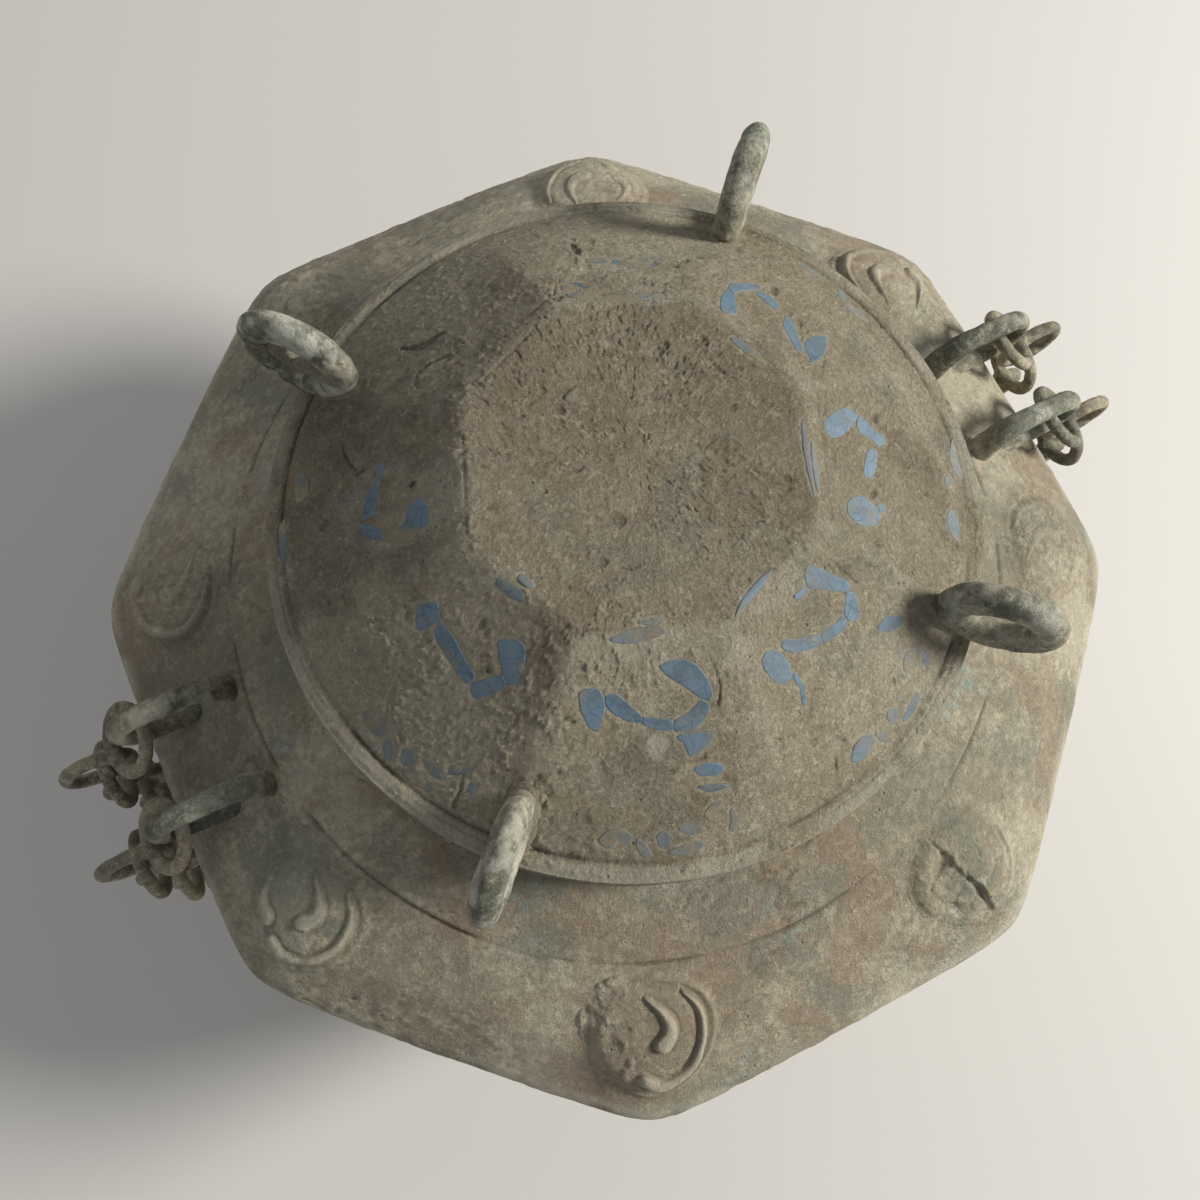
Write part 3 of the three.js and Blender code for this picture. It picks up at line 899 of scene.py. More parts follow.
@dataclass
class Vessel:
    """The octagonal body with its whorl bosses, neck and hollow inside. Sizes in millimetres."""

    finishes: Finishes
    apothem: float = 175.0
    belly_height: float = 175.0
    foot_apothem: float = 102.0
    foot_ring_height: float = 7.0
    foot_ring_width: float = 15.0
    foot_hollow: float = 5.0
    wall: float = 5.0
    shoulder_rise: float = 37.0
    skirt_radius: float = 109.7
    neck_radius: float = 104.0
    neck_height: float = 33.0
    neck_wall: float = 5.5
    line_radius: float = 134.5
    boss_radius: float = 21.0
    boss_rise: float = 3.6
    boss_inset: float = 27.0
    boss_bed: float = 2.2
    boss_margin: float = 4.6
    boss_samples: int = 126
    half_worn_boss: int = 5
    crushed_boss: int = 6
    crushed_sink: float = 1.5
    noise: LatticeNoise = field(default_factory=lambda: LatticeNoise(11))

    # Outside of the belly from the foot up: share of its height, then of its spread.
    belly_curve = ((0.16, 0.27), (0.36, 0.55), (0.58, 0.79), (0.8, 0.94), (0.95, 0.993))

    # Outside of the shoulder from the belly's edge inwards: share of its run, share of its rise, squareness.
    shoulder_curve = (
        (0.035, 0.1, 0.98), (0.27, 0.46, 0.88), (0.6, 0.75, 0.5), (0.83, 0.93, 0.12), (1.0, 1.0, 0.0),
    )

    # Comma curls of a boss in millimetres: x round the vessel, y up the shoulder, then half width.
    curls = (
        [(10.3, 15.5, 0.4), (14.6, 10.0, 0.9), (16.4, 4.0, 1.2), (16.0, -4.0, 1.5), (12.6, -9.8, 1.8),
         (7.0, -13.4, 2.0), (1.4, -14.2, 2.3), (-2.6, -11.8, 2.5)],
        [(-1.7, 15.8, 0.3), (2.4, 12.0, 1.0), (5.2, 7.4, 1.7), (5.4, 3.2, 2.4), (3.4, 0.2, 3.0)],
        [(-15.0, 7.0, 0.3), (-14.6, 0.0, 1.1), (-12.4, -4.8, 1.9), (-8.4, -6.4, 2.5)],
    )

    # The crushed boss in the same terms: what is left of its border, its cracks and a chip on its sunk part.
    crushed_ridge = [
        (-5.0, 18.6, 0.4), (-9.5, 14.8, 1.1), (-14.5, 11.0, 1.2), (-18.4, 5.6, 1.1), (-20.6, -1.0, 0.4),
    ]
    crushed_cracks = (
        [(-3.9, 20.5, 0.1), (-4.4, 16.0, 0.4), (-4.9, 12.2, 0.9), (-8.0, 9.4, 0.8), (-13.0, 7.9, 0.5),
         (-17.0, 3.6, 0.2)],
        [(-2.7, 4.5, 0.1), (-3.4, 0.5, 0.4), (-3.0, -3.0, 0.4), (-3.7, -6.2, 0.9), (-4.0, -10.5, 0.1)],
    )
    crushed_chip = [(-6.4, -3.8, 1.9), (-10.4, -5.2, 2.1)]

    # From the boss at 22.5 degrees round: how much relief is left, and how far the curls are turned.
    kept = (0.75, 0.35, 0.5, 0.55, 0.75, 1.0, 0.3, 0.28)
    turned = (24.0, -30.0, 12.0, 40.0, 8.0, 0.0, -20.0, 15.0)

    def outline(self) -> Array:
        """Outside from the foot up to just under the belly's edge.

        Returns:
            Rows of apothem, height and squareness.
        """
        foot, ring = self.foot_apothem, self.foot_ring_height
        spread, tall = self.apothem - foot, self.belly_height - ring
        low = [(foot, 0.0, 1.0), (foot, ring - 1.5, 1.0), (foot + 0.6, ring, 1.0)]
        low += [(foot + spread * out, ring + tall * share, 1.0) for share, out in self.belly_curve]
        return np.array(low)

    def shoulder(self) -> Array:
        """Outside from just under the belly's edge up to the ledge.

        Returns:
            Rows of apothem, height and squareness.
        """
        run = self.apothem - self.skirt_radius
        rows = [tuple(self.outline()[-1]), (self.apothem, self.belly_height, 1.0)]
        for share, rise, square in self.shoulder_curve:
            rows.append((self.apothem - run * share, self.belly_height + self.shoulder_rise * rise, square))
        return np.array(rows)

    @staticmethod
    def corner_radius(apothem: Array, square: Array) -> Array:
        """Distance to a corner: apothem * (1 + squareness * (octagon at its softened corner - 1))."""
        return apothem * (1.0 + square * (float(octagon(np.array([EIGHTH / 2]))[0]) - 1.0))

    def wear(self, points: Array, strength: float = 1.0) -> tuple[Array, Array]:
        """Dents, soil lumps and crumbs on the skin.

        Args:
            points: places on the skin.
            strength: how much of the height is used.

        Returns:
            The height in millimetres, and how much crust lies there.
        """
        dents = 0.4 * self.noise.layered(points, 70.0, 2) + 0.14 * self.noise.layered(points + 40.0, 16.0, 2)
        spread = self.noise.patches(points, 90.0, 30.0, 5, -0.06, 0.22, 0.62)
        lumps = self.noise.layered(points + 150.0, 4.2, 4, 0.62)
        crust = spread * fade(lumps, -0.15, 0.3)
        return strength * (dents + 0.3 * crust + 0.14 * self.noise.layered(points, 2.2, 2)), crust

    def browning(self, points: Array) -> Array:
        """Where reddish soil still clings: broad patches with ragged edges."""
        return self.noise.patches(points, 710.0, 44.0, 5, 0.02, 0.32, 0.62)

    def boss_relief(self, x: Array, y: Array, k: int) -> tuple[Array, Array, Array]:
        """Height of one boss and its shadows, in its own plane.

        A low dome, rise * sqrt(1 - (r / radius)^2), with a thin border at its edge and three comma curls that
        stand up steeply; the ditches beside the curls and the groove inside the border are sunk and get
        painted shade.

        Args:
            x: distance round the vessel from the middle.
            y: distance up the shoulder from the middle.
            k: number of the boss.

        Returns:
            The height in millimetres, the mark for painted shade in the ditches and groove, and the mark for
            pale rubbed tops.
        """
        size = self.boss_radius
        r = np.hypot(x, y)
        disc = fade(-r, -size - 2.0, -size + 5.0)
        dome = self.boss_rise * np.sqrt(np.clip(1.0 - (r / (size + 2.0)) ** 2, 0.0, 1.0)) * disc
        a = math.radians(self.turned[k])
        u = x * math.cos(a) + y * math.sin(a)
        v = -x * math.sin(a) + y * math.cos(a)
        reach = distance_to_strokes(u, v, [rounded_line(curl, 6) for curl in self.curls])
        curl = 1.8 * fade(-reach, -0.6, 0.9) + 0.4 * fade(-reach, 0.4, 2.4)
        ditch = bell(reach, 0.65, 0.5) * fade(-r, -size - 1.0, -size + 1.0)
        border = 0.75 * bell(r, size, 1.0)
        groove = bell(r, size - 1.9, 0.8) * (0.35 + 0.65 * fade(u, -4.0, 14.0))
        flat = np.stack([u, v, 0.0 * u], axis=-1)
        left = self.noise.patches(flat + [0.0, 0.0, 50.0 * k], 0.0, 14.0, 3, -0.5, 0.0)
        kept = self.kept[k] * (0.35 + 0.65 * left)
        if k == self.half_worn_boss:
            kept = fade(u, -9.0, -1.0)
            dome = dome + 0.9 * (1.0 - kept) * self.noise.patches(flat, 0.0, 7.0, 3, -0.1, 0.5)
        height = dome + kept * (curl + border - 0.35 * ditch - 0.35 * groove)
        shade = kept * np.clip(0.1 * ditch + 0.2 * groove, 0.0, 1.0)
        return height, shade, kept * fade(curl, 0.8, 1.4)

    def split_boss(self, x: Array, y: Array, height: Array) -> tuple[Array, Array]:
        """Crushes a boss: its left part is sunk between a ridge of its border and its standing right part.

        Args:
            x: distance round the vessel from the middle.
            y: distance up the shoulder from the middle.
            height: the whole boss's height.

        Returns:
            The crushed height and a mark for painted shadow in the cracks and the small pit.
        """
        flat = np.stack([x, y, 0.0 * x], axis=-1)
        bend = self.noise.layered(flat + 20.0, 5.0, 3)
        inside = fade(-np.hypot(x, y), -20.5, -15.0)
        sunk = inside * fade(-x - 3.6 - 1.4 * bend, -1.0, 0.7)
        ridge = distance_to_strokes(x, y, [rounded_line(self.crushed_ridge, 6)]) + 0.9 * bend
        lines = [rounded_line(line, 6) for line in self.crushed_cracks]
        crack = distance_to_strokes(x, y, lines) + 0.5 * bend
        chip = distance_to_strokes(x, y, [rounded_line(self.crushed_chip, 4)]) + 0.7 * bend
        pit = np.exp(-((x + 1.3) ** 2 + (y - 8.0) ** 2) / 1.4)
        floor = (0.9 * self.noise.layered(flat + 70.0, 6.0, 4) - self.crushed_sink) * sunk
        chips = fade(-ridge, -4.0, 0.5) + 0.7 * fade(-chip, -0.9, 0.8) * sunk
        ditch = fade(-crack, -0.7, 0.3)
        crushed = height + 0.2 * (inside - sunk) + floor + chips - 0.7 * ditch - 0.6 * pit
        return np.maximum(crushed, -0.9), np.clip(0.1 * ditch + 0.1 * pit, 0.0, 1.0)

    def boss_middle(self) -> tuple[Array, Array, float]:
        """Where a boss sits on the shoulder's profile at a corner.

        Returns:
            The profile, the distance along it at its corner, and that distance at the boss's middle.
        """
        rows = resample(self.shoulder(), 160, 4.0)
        corner = self.corner_radius(rows[:, 0], rows[:, 2])
        length = np.concatenate([[0.0], np.cumsum(np.hypot(np.diff(corner), np.diff(rows[:, 1])))])
        return rows, length, float(np.interp(-(corner.max() - self.boss_inset), -corner, length))

    def near_boss(self, points: Array, angle: float) -> Array:
        """Mask of the bed that a boss lies in.

        Args:
            points: places on the shoulder.
            angle: the boss's angle round the axis, in degrees.

        Returns:
            One inside the boss's disc, fading to zero just before its edge.
        """
        rows, length, middle = self.boss_middle()
        apothem, height, square = (float(np.interp(middle, length, rows[:, i])) for i in range(3))
        centre = polar(np.array(self.corner_radius(apothem, square)), np.array(angle), np.array(height))
        away = np.linalg.norm(points - centre, axis=-1)
        return fade(-away, -self.boss_radius + 0.5, -self.boss_radius + 4.0)

    def build_shoulder(self) -> None:
        """The shoulder: octagon at the belly's edge, circle at the ledge, with a cut line round it."""
        rows = resample(self.shoulder(), 136, 4.0)
        points = carry_round(rows, np.linspace(0.0, 360.0, 700, endpoint=False))
        normals = grid_normals(points, True)
        height, crust = self.wear(points)
        radius = np.hypot(points[..., 0], points[..., 1])
        line = self.line_radius + 0.5 * self.noise.smooth(points * [1.0, 1.0, 0.0], 40.0)
        left = self.noise.patches(points, 300.0, 26.0, 3, -0.3, 0.1)
        cut = bell(radius, line, 0.55) * (0.12 + 0.88 * left)
        step = 0.35 * fade(-radius, -line - 0.4, -line + 0.6)
        cracks = bell(self.noise.layered(points * 0.6 + 510.0, 17.0, 4, 0.62), 0.0, 0.02)
        cracks *= self.noise.patches(points, 610.0, 28.0, 2, 0.16, 0.34)
        height = height * (1.0 - 0.5 * cut) - 0.8 * cut + step - 0.5 * cracks
        for k in range(8):
            height -= self.boss_bed * self.near_boss(points, corner_angle(k))
        points = points + normals * height[..., None]
        edge = fade(-np.abs(rows[:, 1:2] - self.belly_height - 2.0), -5.0, -0.5)
        marks = {
            "hollow": np.clip(0.7 * cut * left + 0.45 * cracks, 0.0, 1.0),
            "crust": crust,
            "pale": 0.7 * edge * self.noise.patches(points, 0.0, 14.0, 3, -0.3, 0.2),
            "brown": self.browning(points),
        }
        made = MeshMaker.join("vessel_shoulder", [(points, True)], marks)
        dress(made, self.finishes.vessel, Body.VESSEL.value, Slot.VESSEL, "vessel_body")

    def build_bosses(self) -> None:
        """Eight low domed discs with comma curls; the one at 292.5 degrees is crushed and split."""
        rows, length, middle = self.boss_middle()
        half = self.boss_radius + self.boss_margin
        steps = np.linspace(-half, half, self.boss_samples)
        y, x = np.meshgrid(steps, steps, indexing="ij")
        at = np.clip(middle + steps, 0.0, length[-1])
        line = np.stack([np.interp(at, length, rows[:, i]) for i in range(3)], axis=1)
        across = np.degrees(x / self.corner_radius(line[:, :1], line[:, 2:3]))
        rim = fade(np.hypot(x, y), self.boss_radius + 2.2, self.boss_radius + 4.4)
        for k in range(8):
            points = carry_round(line, corner_angle(k) + across)
            normals = grid_normals(points, False)
            worn, crust = self.wear(points)
            height, shade, rubbed = self.boss_relief(x, y, k)
            if k == self.crushed_boss:
                height, crack_shadow = self.split_boss(x, y, height)
                shade = np.clip(0.2 * shade + crack_shadow, 0.0, 1.0)
            crust = crust * (1.0 - 0.7 * rubbed)
            height = height + worn * (1.0 - 0.4 * rubbed) + 0.05 - 1.4 * rim
            points = points + normals * height[..., None]
            # The hollow mark on the bosses is painted shade in the ditches, the groove and the crushed boss's
            # cracks.
            marks = {
                "hollow": shade * (1.0 - 0.4 * crust),
                "crust": crust,
                "pale": 0.6 * rubbed,
                "brown": self.browning(points) * 0.6,
            }
            made = MeshMaker.join(f"whorl_boss_{k + 1}", [(points, False)], marks)
            dress(made, self.finishes.vessel, Body.VESSEL.value, Slot.VESSEL)

    def build_lower(self) -> None:
        """Belly below the edge, the foot ring and the sunk underside."""
        inner = self.foot_apothem - self.foot_ring_width
        ring = [(0.5, self.foot_hollow), (inner, self.foot_hollow), (inner, 0.0), (self.foot_apothem, 0.0)]
        under = resample(np.array([(r, z, 1.0) for r, z in ring]), 50, 1.2)
        side = resample(np.vstack([self.outline(), self.shoulder()[1:3]]), 120, 6.0)[:-3]
        side[0] = under[-1]
        rows = np.vstack([under[:-1], side])
        points = carry_round(rows, np.linspace(0.0, 360.0, 400, endpoint=False))
        normals = grid_normals(points, True)
        height, crust = self.wear(points, 0.9)
        level = rows[:, 1:2]
        height = height * fade(level, 1.0, 9.0) - 0.05
        height -= 0.6 * fade(level, self.belly_height - 6.0, self.belly_height)
        points = points + normals * height[..., None]
        hollow = 0.15 * fade(-self.noise.layered(points + 60.0, 40.0, 3), 0.1, 0.5)
        made = MeshMaker.join("vessel_belly", [(points, True)], {"hollow": hollow, "crust": crust})
        dress(made, self.finishes.vessel, Body.VESSEL.value, Slot.VESSEL, "vessel_body")

    def build_inside(self) -> None:
        """Ledge, neck, mouth and the hollow of the vessel down to its floor."""
        ledge = self.belly_height + self.shoulder_rise
        top = ledge + self.neck_height
        outer, inner = self.neck_radius, self.neck_radius - self.neck_wall
        neck = [
            (self.skirt_radius + 1.0, ledge - 0.6), (outer + 0.6, ledge + 0.1), (outer, ledge + 1.0),
            (outer, top - 1.2), (outer - 1.0, top), (inner + 1.0, top), (inner, top - 1.2),
            (inner, ledge - self.wall),
        ]
        floor = self.foot_ring_height + self.wall * 0.7
        rows = [(r, z, 0.0) for r, z in neck]
        rows += [(r - self.wall, z - self.wall, s) for r, z, s in self.shoulder()[::-1][1:-2]]
        rows += [(self.apothem - self.wall, self.belly_height - self.wall / 2, 1.0)]
        rows += [(r - self.wall * 1.15, z + self.wall * 0.35, 1.0) for r, z, _ in self.outline()[::-1][1:-3]]
        rows += [(self.foot_apothem - self.wall * 2.2, floor + 1.5, 1.0), (0.5, floor, 1.0)]
        points = carry_round(resample(np.array(rows), 170, 2.0), np.linspace(0.0, 360.0, 260, endpoint=False))
        normals = grid_normals(points, True)
        height, crust = self.wear(points, 0.5)
        points = points + normals * np.minimum(height, 0.2)[..., None]
        made = MeshMaker.join("vessel_inside", [(points, True)], {"hollow": 0.3 * crust, "crust": crust})
        dress(made, self.finishes.inside, Body.VESSEL.value, Slot.VESSEL, "vessel_body")

    def build(self) -> None:
        """Builds every surface of the body."""
        self.build_shoulder()
        self.build_bosses()
        self.build_lower()
        self.build_inside()


@dataclass(frozen=True)
class FacetInlay:
    """What is left on one facet. Rows are x round the lid and distance from the axis, in millimetres."""

    soil: float
    scroll: tuple[Outline, ...]
    border: tuple[Outline, ...]
    rim: tuple[Outline, ...]
    cracks: tuple[Stroke, ...] = ()

    def kinds(self) -> tuple[tuple[str, tuple[Outline, ...], float], ...]:
        """Node name, outlines and extra soil of each kind of piece."""
        names = ("scroll_inlay", "border_inlay", "rim_inlay")
        return tuple(zip(names, (self.scroll, self.border, self.rim), (0.0, 0.22, 0.3)))


class InlayPattern:
    """The inlay of all eight facets, from the one at 22.5 degrees round."""

    lens = ((-10.5, 50.2), (-6, 48.9), (-1, 48.2), (4, 48.6), (9.5, 49.8), (4, 50.9), (-1, 51.4),
            (-6, 51.2))
    rim_drop = ((-16, 98.4), (-13, 96.3), (-9, 96), (-6.2, 97.9), (-7, 100.2), (-11, 100.8), (-14.2, 100.2))
    rim_tail = ((-5.2, 98.6), (-3.2, 99.6), (-0.6, 103.2), (-2.8, 104), (-4.9, 101.6))
    rim_eye = ((0.6, 98.4), (2.6, 97), (5.2, 98.8), (4.2, 101), (1.4, 101.2))
    rim_sliver = ((6.2, 96.8), (10, 95.9), (15, 97.2), (10.6, 98.6))
    rim_leaf = ((3.4, 103), (8, 101.4), (13.6, 100.4), (13.9, 102), (8.4, 103.8))
    hook_arc = ((14, 93.4), (16.2, 91), (19, 90.4), (18.6, 92), (16.4, 93.2), (15.4, 95))
    hook_side = ((22.4, 92.2), (24, 95), (22.6, 98.4), (21.2, 97.6), (22.2, 95), (21.4, 93.2))
    whole_rim = (rim_drop, rim_tail, rim_eye, rim_sliver, rim_leaf, hook_arc, hook_side)

    facet_1 = FacetInlay(
        soil=0.12,
        scroll=(
            ((-16.2, 59.4), (-14.4, 60.4), (-11, 63), (-9.4, 66.2), (-9.9, 71), (-12, 75.2), (-14.2, 71.2),
             (-16.2, 66)),
            ((-12, 60.6), (-10.2, 59.2), (-6, 62), (-1, 65.5), (0.8, 70.6), (-2.2, 69.6), (-6, 66),
             (-9, 63.2)),
            ((3.4, 69.2), (7.4, 69), (12, 69.6), (11.6, 73), (5.2, 73)),
            ((9.2, 55), (11.4, 51.8), (13.6, 52.4), (16.6, 57.4), (17.6, 62), (15, 62), (12.8, 59)),
            ((15.1, 62.6), (17.8, 62.6), (18.9, 65.6), (17.4, 69.2), (13.8, 74.6), (12.4, 73.2),
             (14.4, 68.4), (15.6, 65.2)),
        ),
        border=(((-9, 45.6), (-2, 44.8), (5, 45), (3, 46.8), (-5, 46.9)),),
        rim=(rim_drop, rim_tail, rim_leaf),
        cracks=(
            ((-4.6, 70.2, 0.7), (-3.4, 72, 0.9), (-2.4, 72, 0.3)), ((-0.4, 70.6, 0.5), (0.6, 73, 0.5)),
            ((8, 75.4, 0.5), (9.6, 76.6, 1.3), (10.8, 79, 1)), ((14, 77.4, 0.4), (15.2, 79.2, 0.4)),
            ((-18.6, 61, 0.6), (-17.9, 64.8, 0.3)), ((17, 53, 0.2), (18.8, 57, 0.3), (20, 61, 0.2)),
        ),
    )
    facet_2 = FacetInlay(
        soil=0.62,
        scroll=(
            ((4.6, 55), (9, 51.6), (13, 50.6), (16.6, 53), (18, 57.8), (14, 59.6), (10, 58.6), (7, 56.6)),
            ((-14, 63), (-11, 62.6), (-9.6, 66), (-11.4, 70.6), (-13.8, 68)),
            ((-9, 63.6), (-4, 66.6), (1.4, 69.6), (1, 72), (-4.6, 69.4), (-9.2, 66)),
            ((3, 70), (9, 70.6), (9.4, 73.4), (3.6, 73)),
        ),
        border=(lens,),
        rim=whole_rim,
        cracks=(
            ((11, 76, 0.8), (12, 79, 1.5), (12.8, 83, 0.9)),
            ((16.4, 62.2, 0.4), (18.8, 60.2, 0.3), (19.6, 56, 0.3), (20.4, 51.4, 0.4)),
        ),
    )
    facet_3 = FacetInlay(
        soil=0.97,
        scroll=(
            ((-16, 62), (-12, 61.4), (-10.8, 66), (-13, 70.4), (-16.2, 67.4)),
            ((-9.6, 63), (-3, 67), (5, 70.2), (4.8, 72.8), (-3.4, 70.2), (-9.8, 66)),
            ((6, 55), (10, 54), (14.6, 58.6), (15.6, 64.6), (12.4, 63.4), (8.8, 59.2)),
        ),
        border=(lens,),
        rim=(rim_drop, rim_sliver),
        cracks=(
            ((2, 73, 0.8), (7, 74, 2.2), (10, 77, 1.6), (12, 81, 0.8)),
            ((6, 62, 0.4), (12, 66.4, 0.7), (17, 68, 0.4)),
        ),
    )
    facet_4 = FacetInlay(
        soil=0.3,
        scroll=(
            ((4.6, 60), (8.2, 58), (13, 58), (14.2, 61.4), (16.6, 62.2), (16.4, 66.4), (13.8, 70.2),
             (12, 67), (10.8, 64.2), (7.2, 64.4)),
            ((11.2, 71), (14, 70.8), (13, 74.2), (10.4, 78.2), (7.2, 77.6), (9.2, 74.2)),
            ((-4.6, 71.6), (0.0, 73), (5.6, 74), (6.2, 78), (0.0, 76.6), (-5.2, 73.8)),
            ((-9.2, 70.6), (-5.4, 71.2), (-5.8, 73.4), (-9, 72.6)),
        ),
        border=(((-1.2, 48.6), (3, 47.8), (5.4, 49.4), (0.4, 50.6)),),
        rim=(((-3, 104.2), (2, 103.4), (12, 104.4), (11, 107), (0.0, 107)), rim_drop),
        cracks=(
            ((-20.4, 84.6, 0.3), (-15, 82.8, 0.7), (-10.2, 79.8, 0.4)), ((0.2, 62, 0.9), (0.9, 62.4, 0.9)),
            ((-9.2, 77, 0.4), (-8.4, 79.4, 0.5)),
        ),
    )
    facet_5 = FacetInlay(
        soil=0.16,
        scroll=(
            ((-19.6, 68), (-15.6, 63.8), (-12.2, 67.2), (-15.6, 73)),
            ((-11.9, 67.2), (-9, 67.4), (-5, 68.4), (1, 70.7), (5.2, 71.7), (4.8, 74.2), (0.0, 73.9),
             (-6, 72.2), (-11.2, 70.6)),
            ((5.6, 73.2), (8, 70.4), (10.8, 66.9), (13.6, 68.6), (11, 72.6), (9, 75.6), (6.4, 75.6)),
            ((4, 61.3), (8, 58), (11.2, 58), (14.2, 62), (15.4, 66.2), (13.4, 68), (9, 65.2)),
        ),
        border=(
            ((-6.2, 50), (-3, 48.8), (2, 48.6), (3.8, 50.2), (0.0, 51.1), (-5, 51.1)),
            ((-2, 45.2), (3, 44.9), (2.6, 46.6), (-1.4, 46.8)),
        ),
        rim=whole_rim,
        cracks=(
            ((15.6, 94.4, 0.5), (18.4, 92.4, 0.4), (20, 95.6, 0.6), (21.6, 100.4, 0.9)),
            ((3, 103, 0.2), (10, 102.4, 0.4), (16.6, 103.4, 0.2)),
        ),
    )
    facet_6 = FacetInlay(
        soil=0.0,
        scroll=(
            ((-19.6, 61.6), (-17, 60.8), (-14.2, 61), (-12.9, 64), (-13.1, 66.6), (-14.9, 71.2),
             (-17.2, 70), (-19.2, 65.8)),
            ((-12.5, 62.8), (-9.8, 62.3), (-7, 64.6), (-3, 68.2), (-3.2, 69.6), (-6.4, 69), (-10.2, 67.2),
             (-12.4, 64.8)),
            ((-2.7, 68.3), (1, 68.9), (5.3, 69.6), (5.4, 72), (1, 71.4), (-2.8, 69.9)),
            ((5.8, 69.8), (10, 68), (13, 64.9), (15.5, 66.2), (14, 69.6), (10.2, 72.2), (5.9, 72.2)),
            ((1.8, 56.4), (4.8, 55.2), (9, 55.2), (12.4, 57), (15.2, 60.8), (16.2, 63.6), (15.4, 65.4),
             (12.6, 64.2), (8.8, 61.4), (4, 58.6)),
            ((6, 73.6), (11, 72.7), (17, 73.2), (15, 76.2), (10, 78.8), (8.8, 75.2)),
            ((10.8, 81.7), (15, 80.4), (19.6, 81.4), (18.4, 83.5), (13, 83.6)),
            ((11.6, 86.3), (16, 85.7), (21.4, 86.6), (16, 87.8)),
        ),
        border=(
            ((-11.6, 49.6), (-6, 47.6), (0.0, 46.9), (4.4, 48.2), (0.0, 49.8), (-6.4, 50.6)),
            ((-4, 45.4), (1, 44.8), (4, 45.6), (0.0, 46.3)),
        ),
        rim=whole_rim,
        cracks=(
            ((15.6, 55.6, 0.3), (17.4, 59.6, 0.4), (18.2, 64, 0.5), (17, 66, 0.3)),
            ((-23.6, 67.4, 0.7), (-21.4, 68.6, 0.6)), ((4.6, 81.6, 0.6), (5.6, 82.4, 0.5)),
        ),
    )
    facet_7 = FacetInlay(
        soil=0.06,
        scroll=(
            ((-19.3, 63), (-18.4, 60.8), (-16, 60), (-13.6, 61.2), (-12.7, 64), (-13, 67), (-14.6, 69.6),
             (-17.4, 69.4), (-19.1, 66.6)),
            ((-11.6, 62), (-9.4, 61.8), (-5, 65.4), (-0.6, 68), (-1.4, 70), (-6, 68.2), (-10.4, 65)),
            ((-0.4, 68.1), (4.6, 69.4), (8.6, 69.4), (8.2, 71.6), (4, 71.8), (-1, 70.2)),
            ((9, 69.4), (12, 67.2), (13.4, 66.2), (15.3, 67.2), (14.2, 70.2), (12, 73.2), (9.2, 72)),
            ((5, 57.2), (6.8, 54.2), (9.4, 53.2), (12.2, 57.8), (16.1, 65.4), (13.8, 66), (9.2, 61.2)),
            ((0.2, 56), (4.4, 56.4), (4, 57.8), (0.8, 57)),
            ((-14.4, 70.2), (-13, 69), (-13.2, 73.6), (-15.8, 77.4), (-17, 77), (-14.6, 73.4)),
            ((14.6, 79.2), (19, 79), (24, 82.6), (22, 84), (17, 82.2)),
        ),
        border=(((-17, 48.2), (-11, 46.4), (-5, 46.2), (1, 47), (-5, 48), (-11, 47.9)),),
        rim=whole_rim,
        cracks=(
            ((-16.6, 79.6, 0.4), (-13.4, 77.4, 0.3), (-9, 75.6, 0.3), (-5.6, 73.2, 0.2)),
            ((15.2, 56.6, 0.2), (16.6, 61, 0.4), (17.4, 65, 0.4)), ((-19.2, 94, 0.7), (-20.4, 96.4, 0.5)),
            ((-15, 90, 0.6), (-13.6, 93, 0.7)), ((5.6, 72.6, 0.5), (6.6, 72.8, 0.5)),
            ((-25, 83, 0.2), (-16, 83.6, 0.3), (-10.6, 80.8, 0.4)),
        ),
    )
    facet_8 = FacetInlay(
        soil=0.03,
        scroll=(
            ((-18.2, 60.4), (-16.2, 58), (-13, 58), (-10.5, 60.5), (-9.8, 64), (-12, 68), (-15, 69.4),
             (-17.6, 67.2), (-18.6, 63.6)),
            ((-3.1, 65.3), (0.0, 65.9), (6.1, 68.3), (5.4, 71.2), (1, 70.4), (-3.4, 67.6)),
            ((10, 66), (12.6, 65), (15.7, 66.4), (14.8, 69.2), (12, 72), (12, 74.6), (9.4, 75), (7.6, 72.2),
             (9.2, 70.4), (10.2, 68)),
            ((6.3, 56), (7.2, 54), (10, 53.2), (13, 56), (16.5, 60.5), (16.9, 64), (15.3, 65.8),
             (11.2, 62.6), (7.5, 58.6)),
            ((-13.2, 69.6), (-11.4, 68.6), (-10.6, 70.6), (-12.2, 72.2)),
        ),
        border=(
            ((-13, 47.6), (-6, 46.4), (2, 45.9), (11, 46.4), (3, 47.2), (-6, 47.6)),
            ((-12.4, 48.6), (-5, 48.1), (5, 48.6), (-4, 49.6)),
        ),
        rim=(
            ((5, 104.6), (7.2, 102.2), (12, 101.5), (18, 103.6), (23, 107), (17, 106.9), (8, 106.6)),
            rim_drop, rim_eye,
        ),
        cracks=(
            ((-9.4, 67, 0.5), (-8, 67.8, 1), (-6.4, 68.8, 0.4)),
            ((14.6, 72.4, 0.4), (16.4, 72.2, 1.2), (18.4, 73.4, 0.5)),
            ((-12, 84.6, 0.3), (-9.8, 83.4, 0.6)), ((11, 78.4, 0.3), (14.6, 80.4, 0.5)),
            ((-18.4, 98.4, 0.7), (-16.4, 99.2, 0.5)), ((-3.8, 88.6, 0.6), (-2.8, 88.8, 0.5)),
            ((12.2, 53.4, 0.4), (14, 54.4, 0.5)),
        ),
    )
    facets = (facet_1, facet_2, facet_3, facet_4, facet_5, facet_6, facet_7, facet_8)

    @staticmethod
    def plan(k: int, x: Array, out: Array) -> tuple[Array, Array]:
        """Plan coordinates of places on facet k, given round the lid and out from the axis."""
        a = math.radians(corner_angle(k))
        return out * math.cos(a) - x * math.sin(a), out * math.sin(a) + x * math.cos(a)

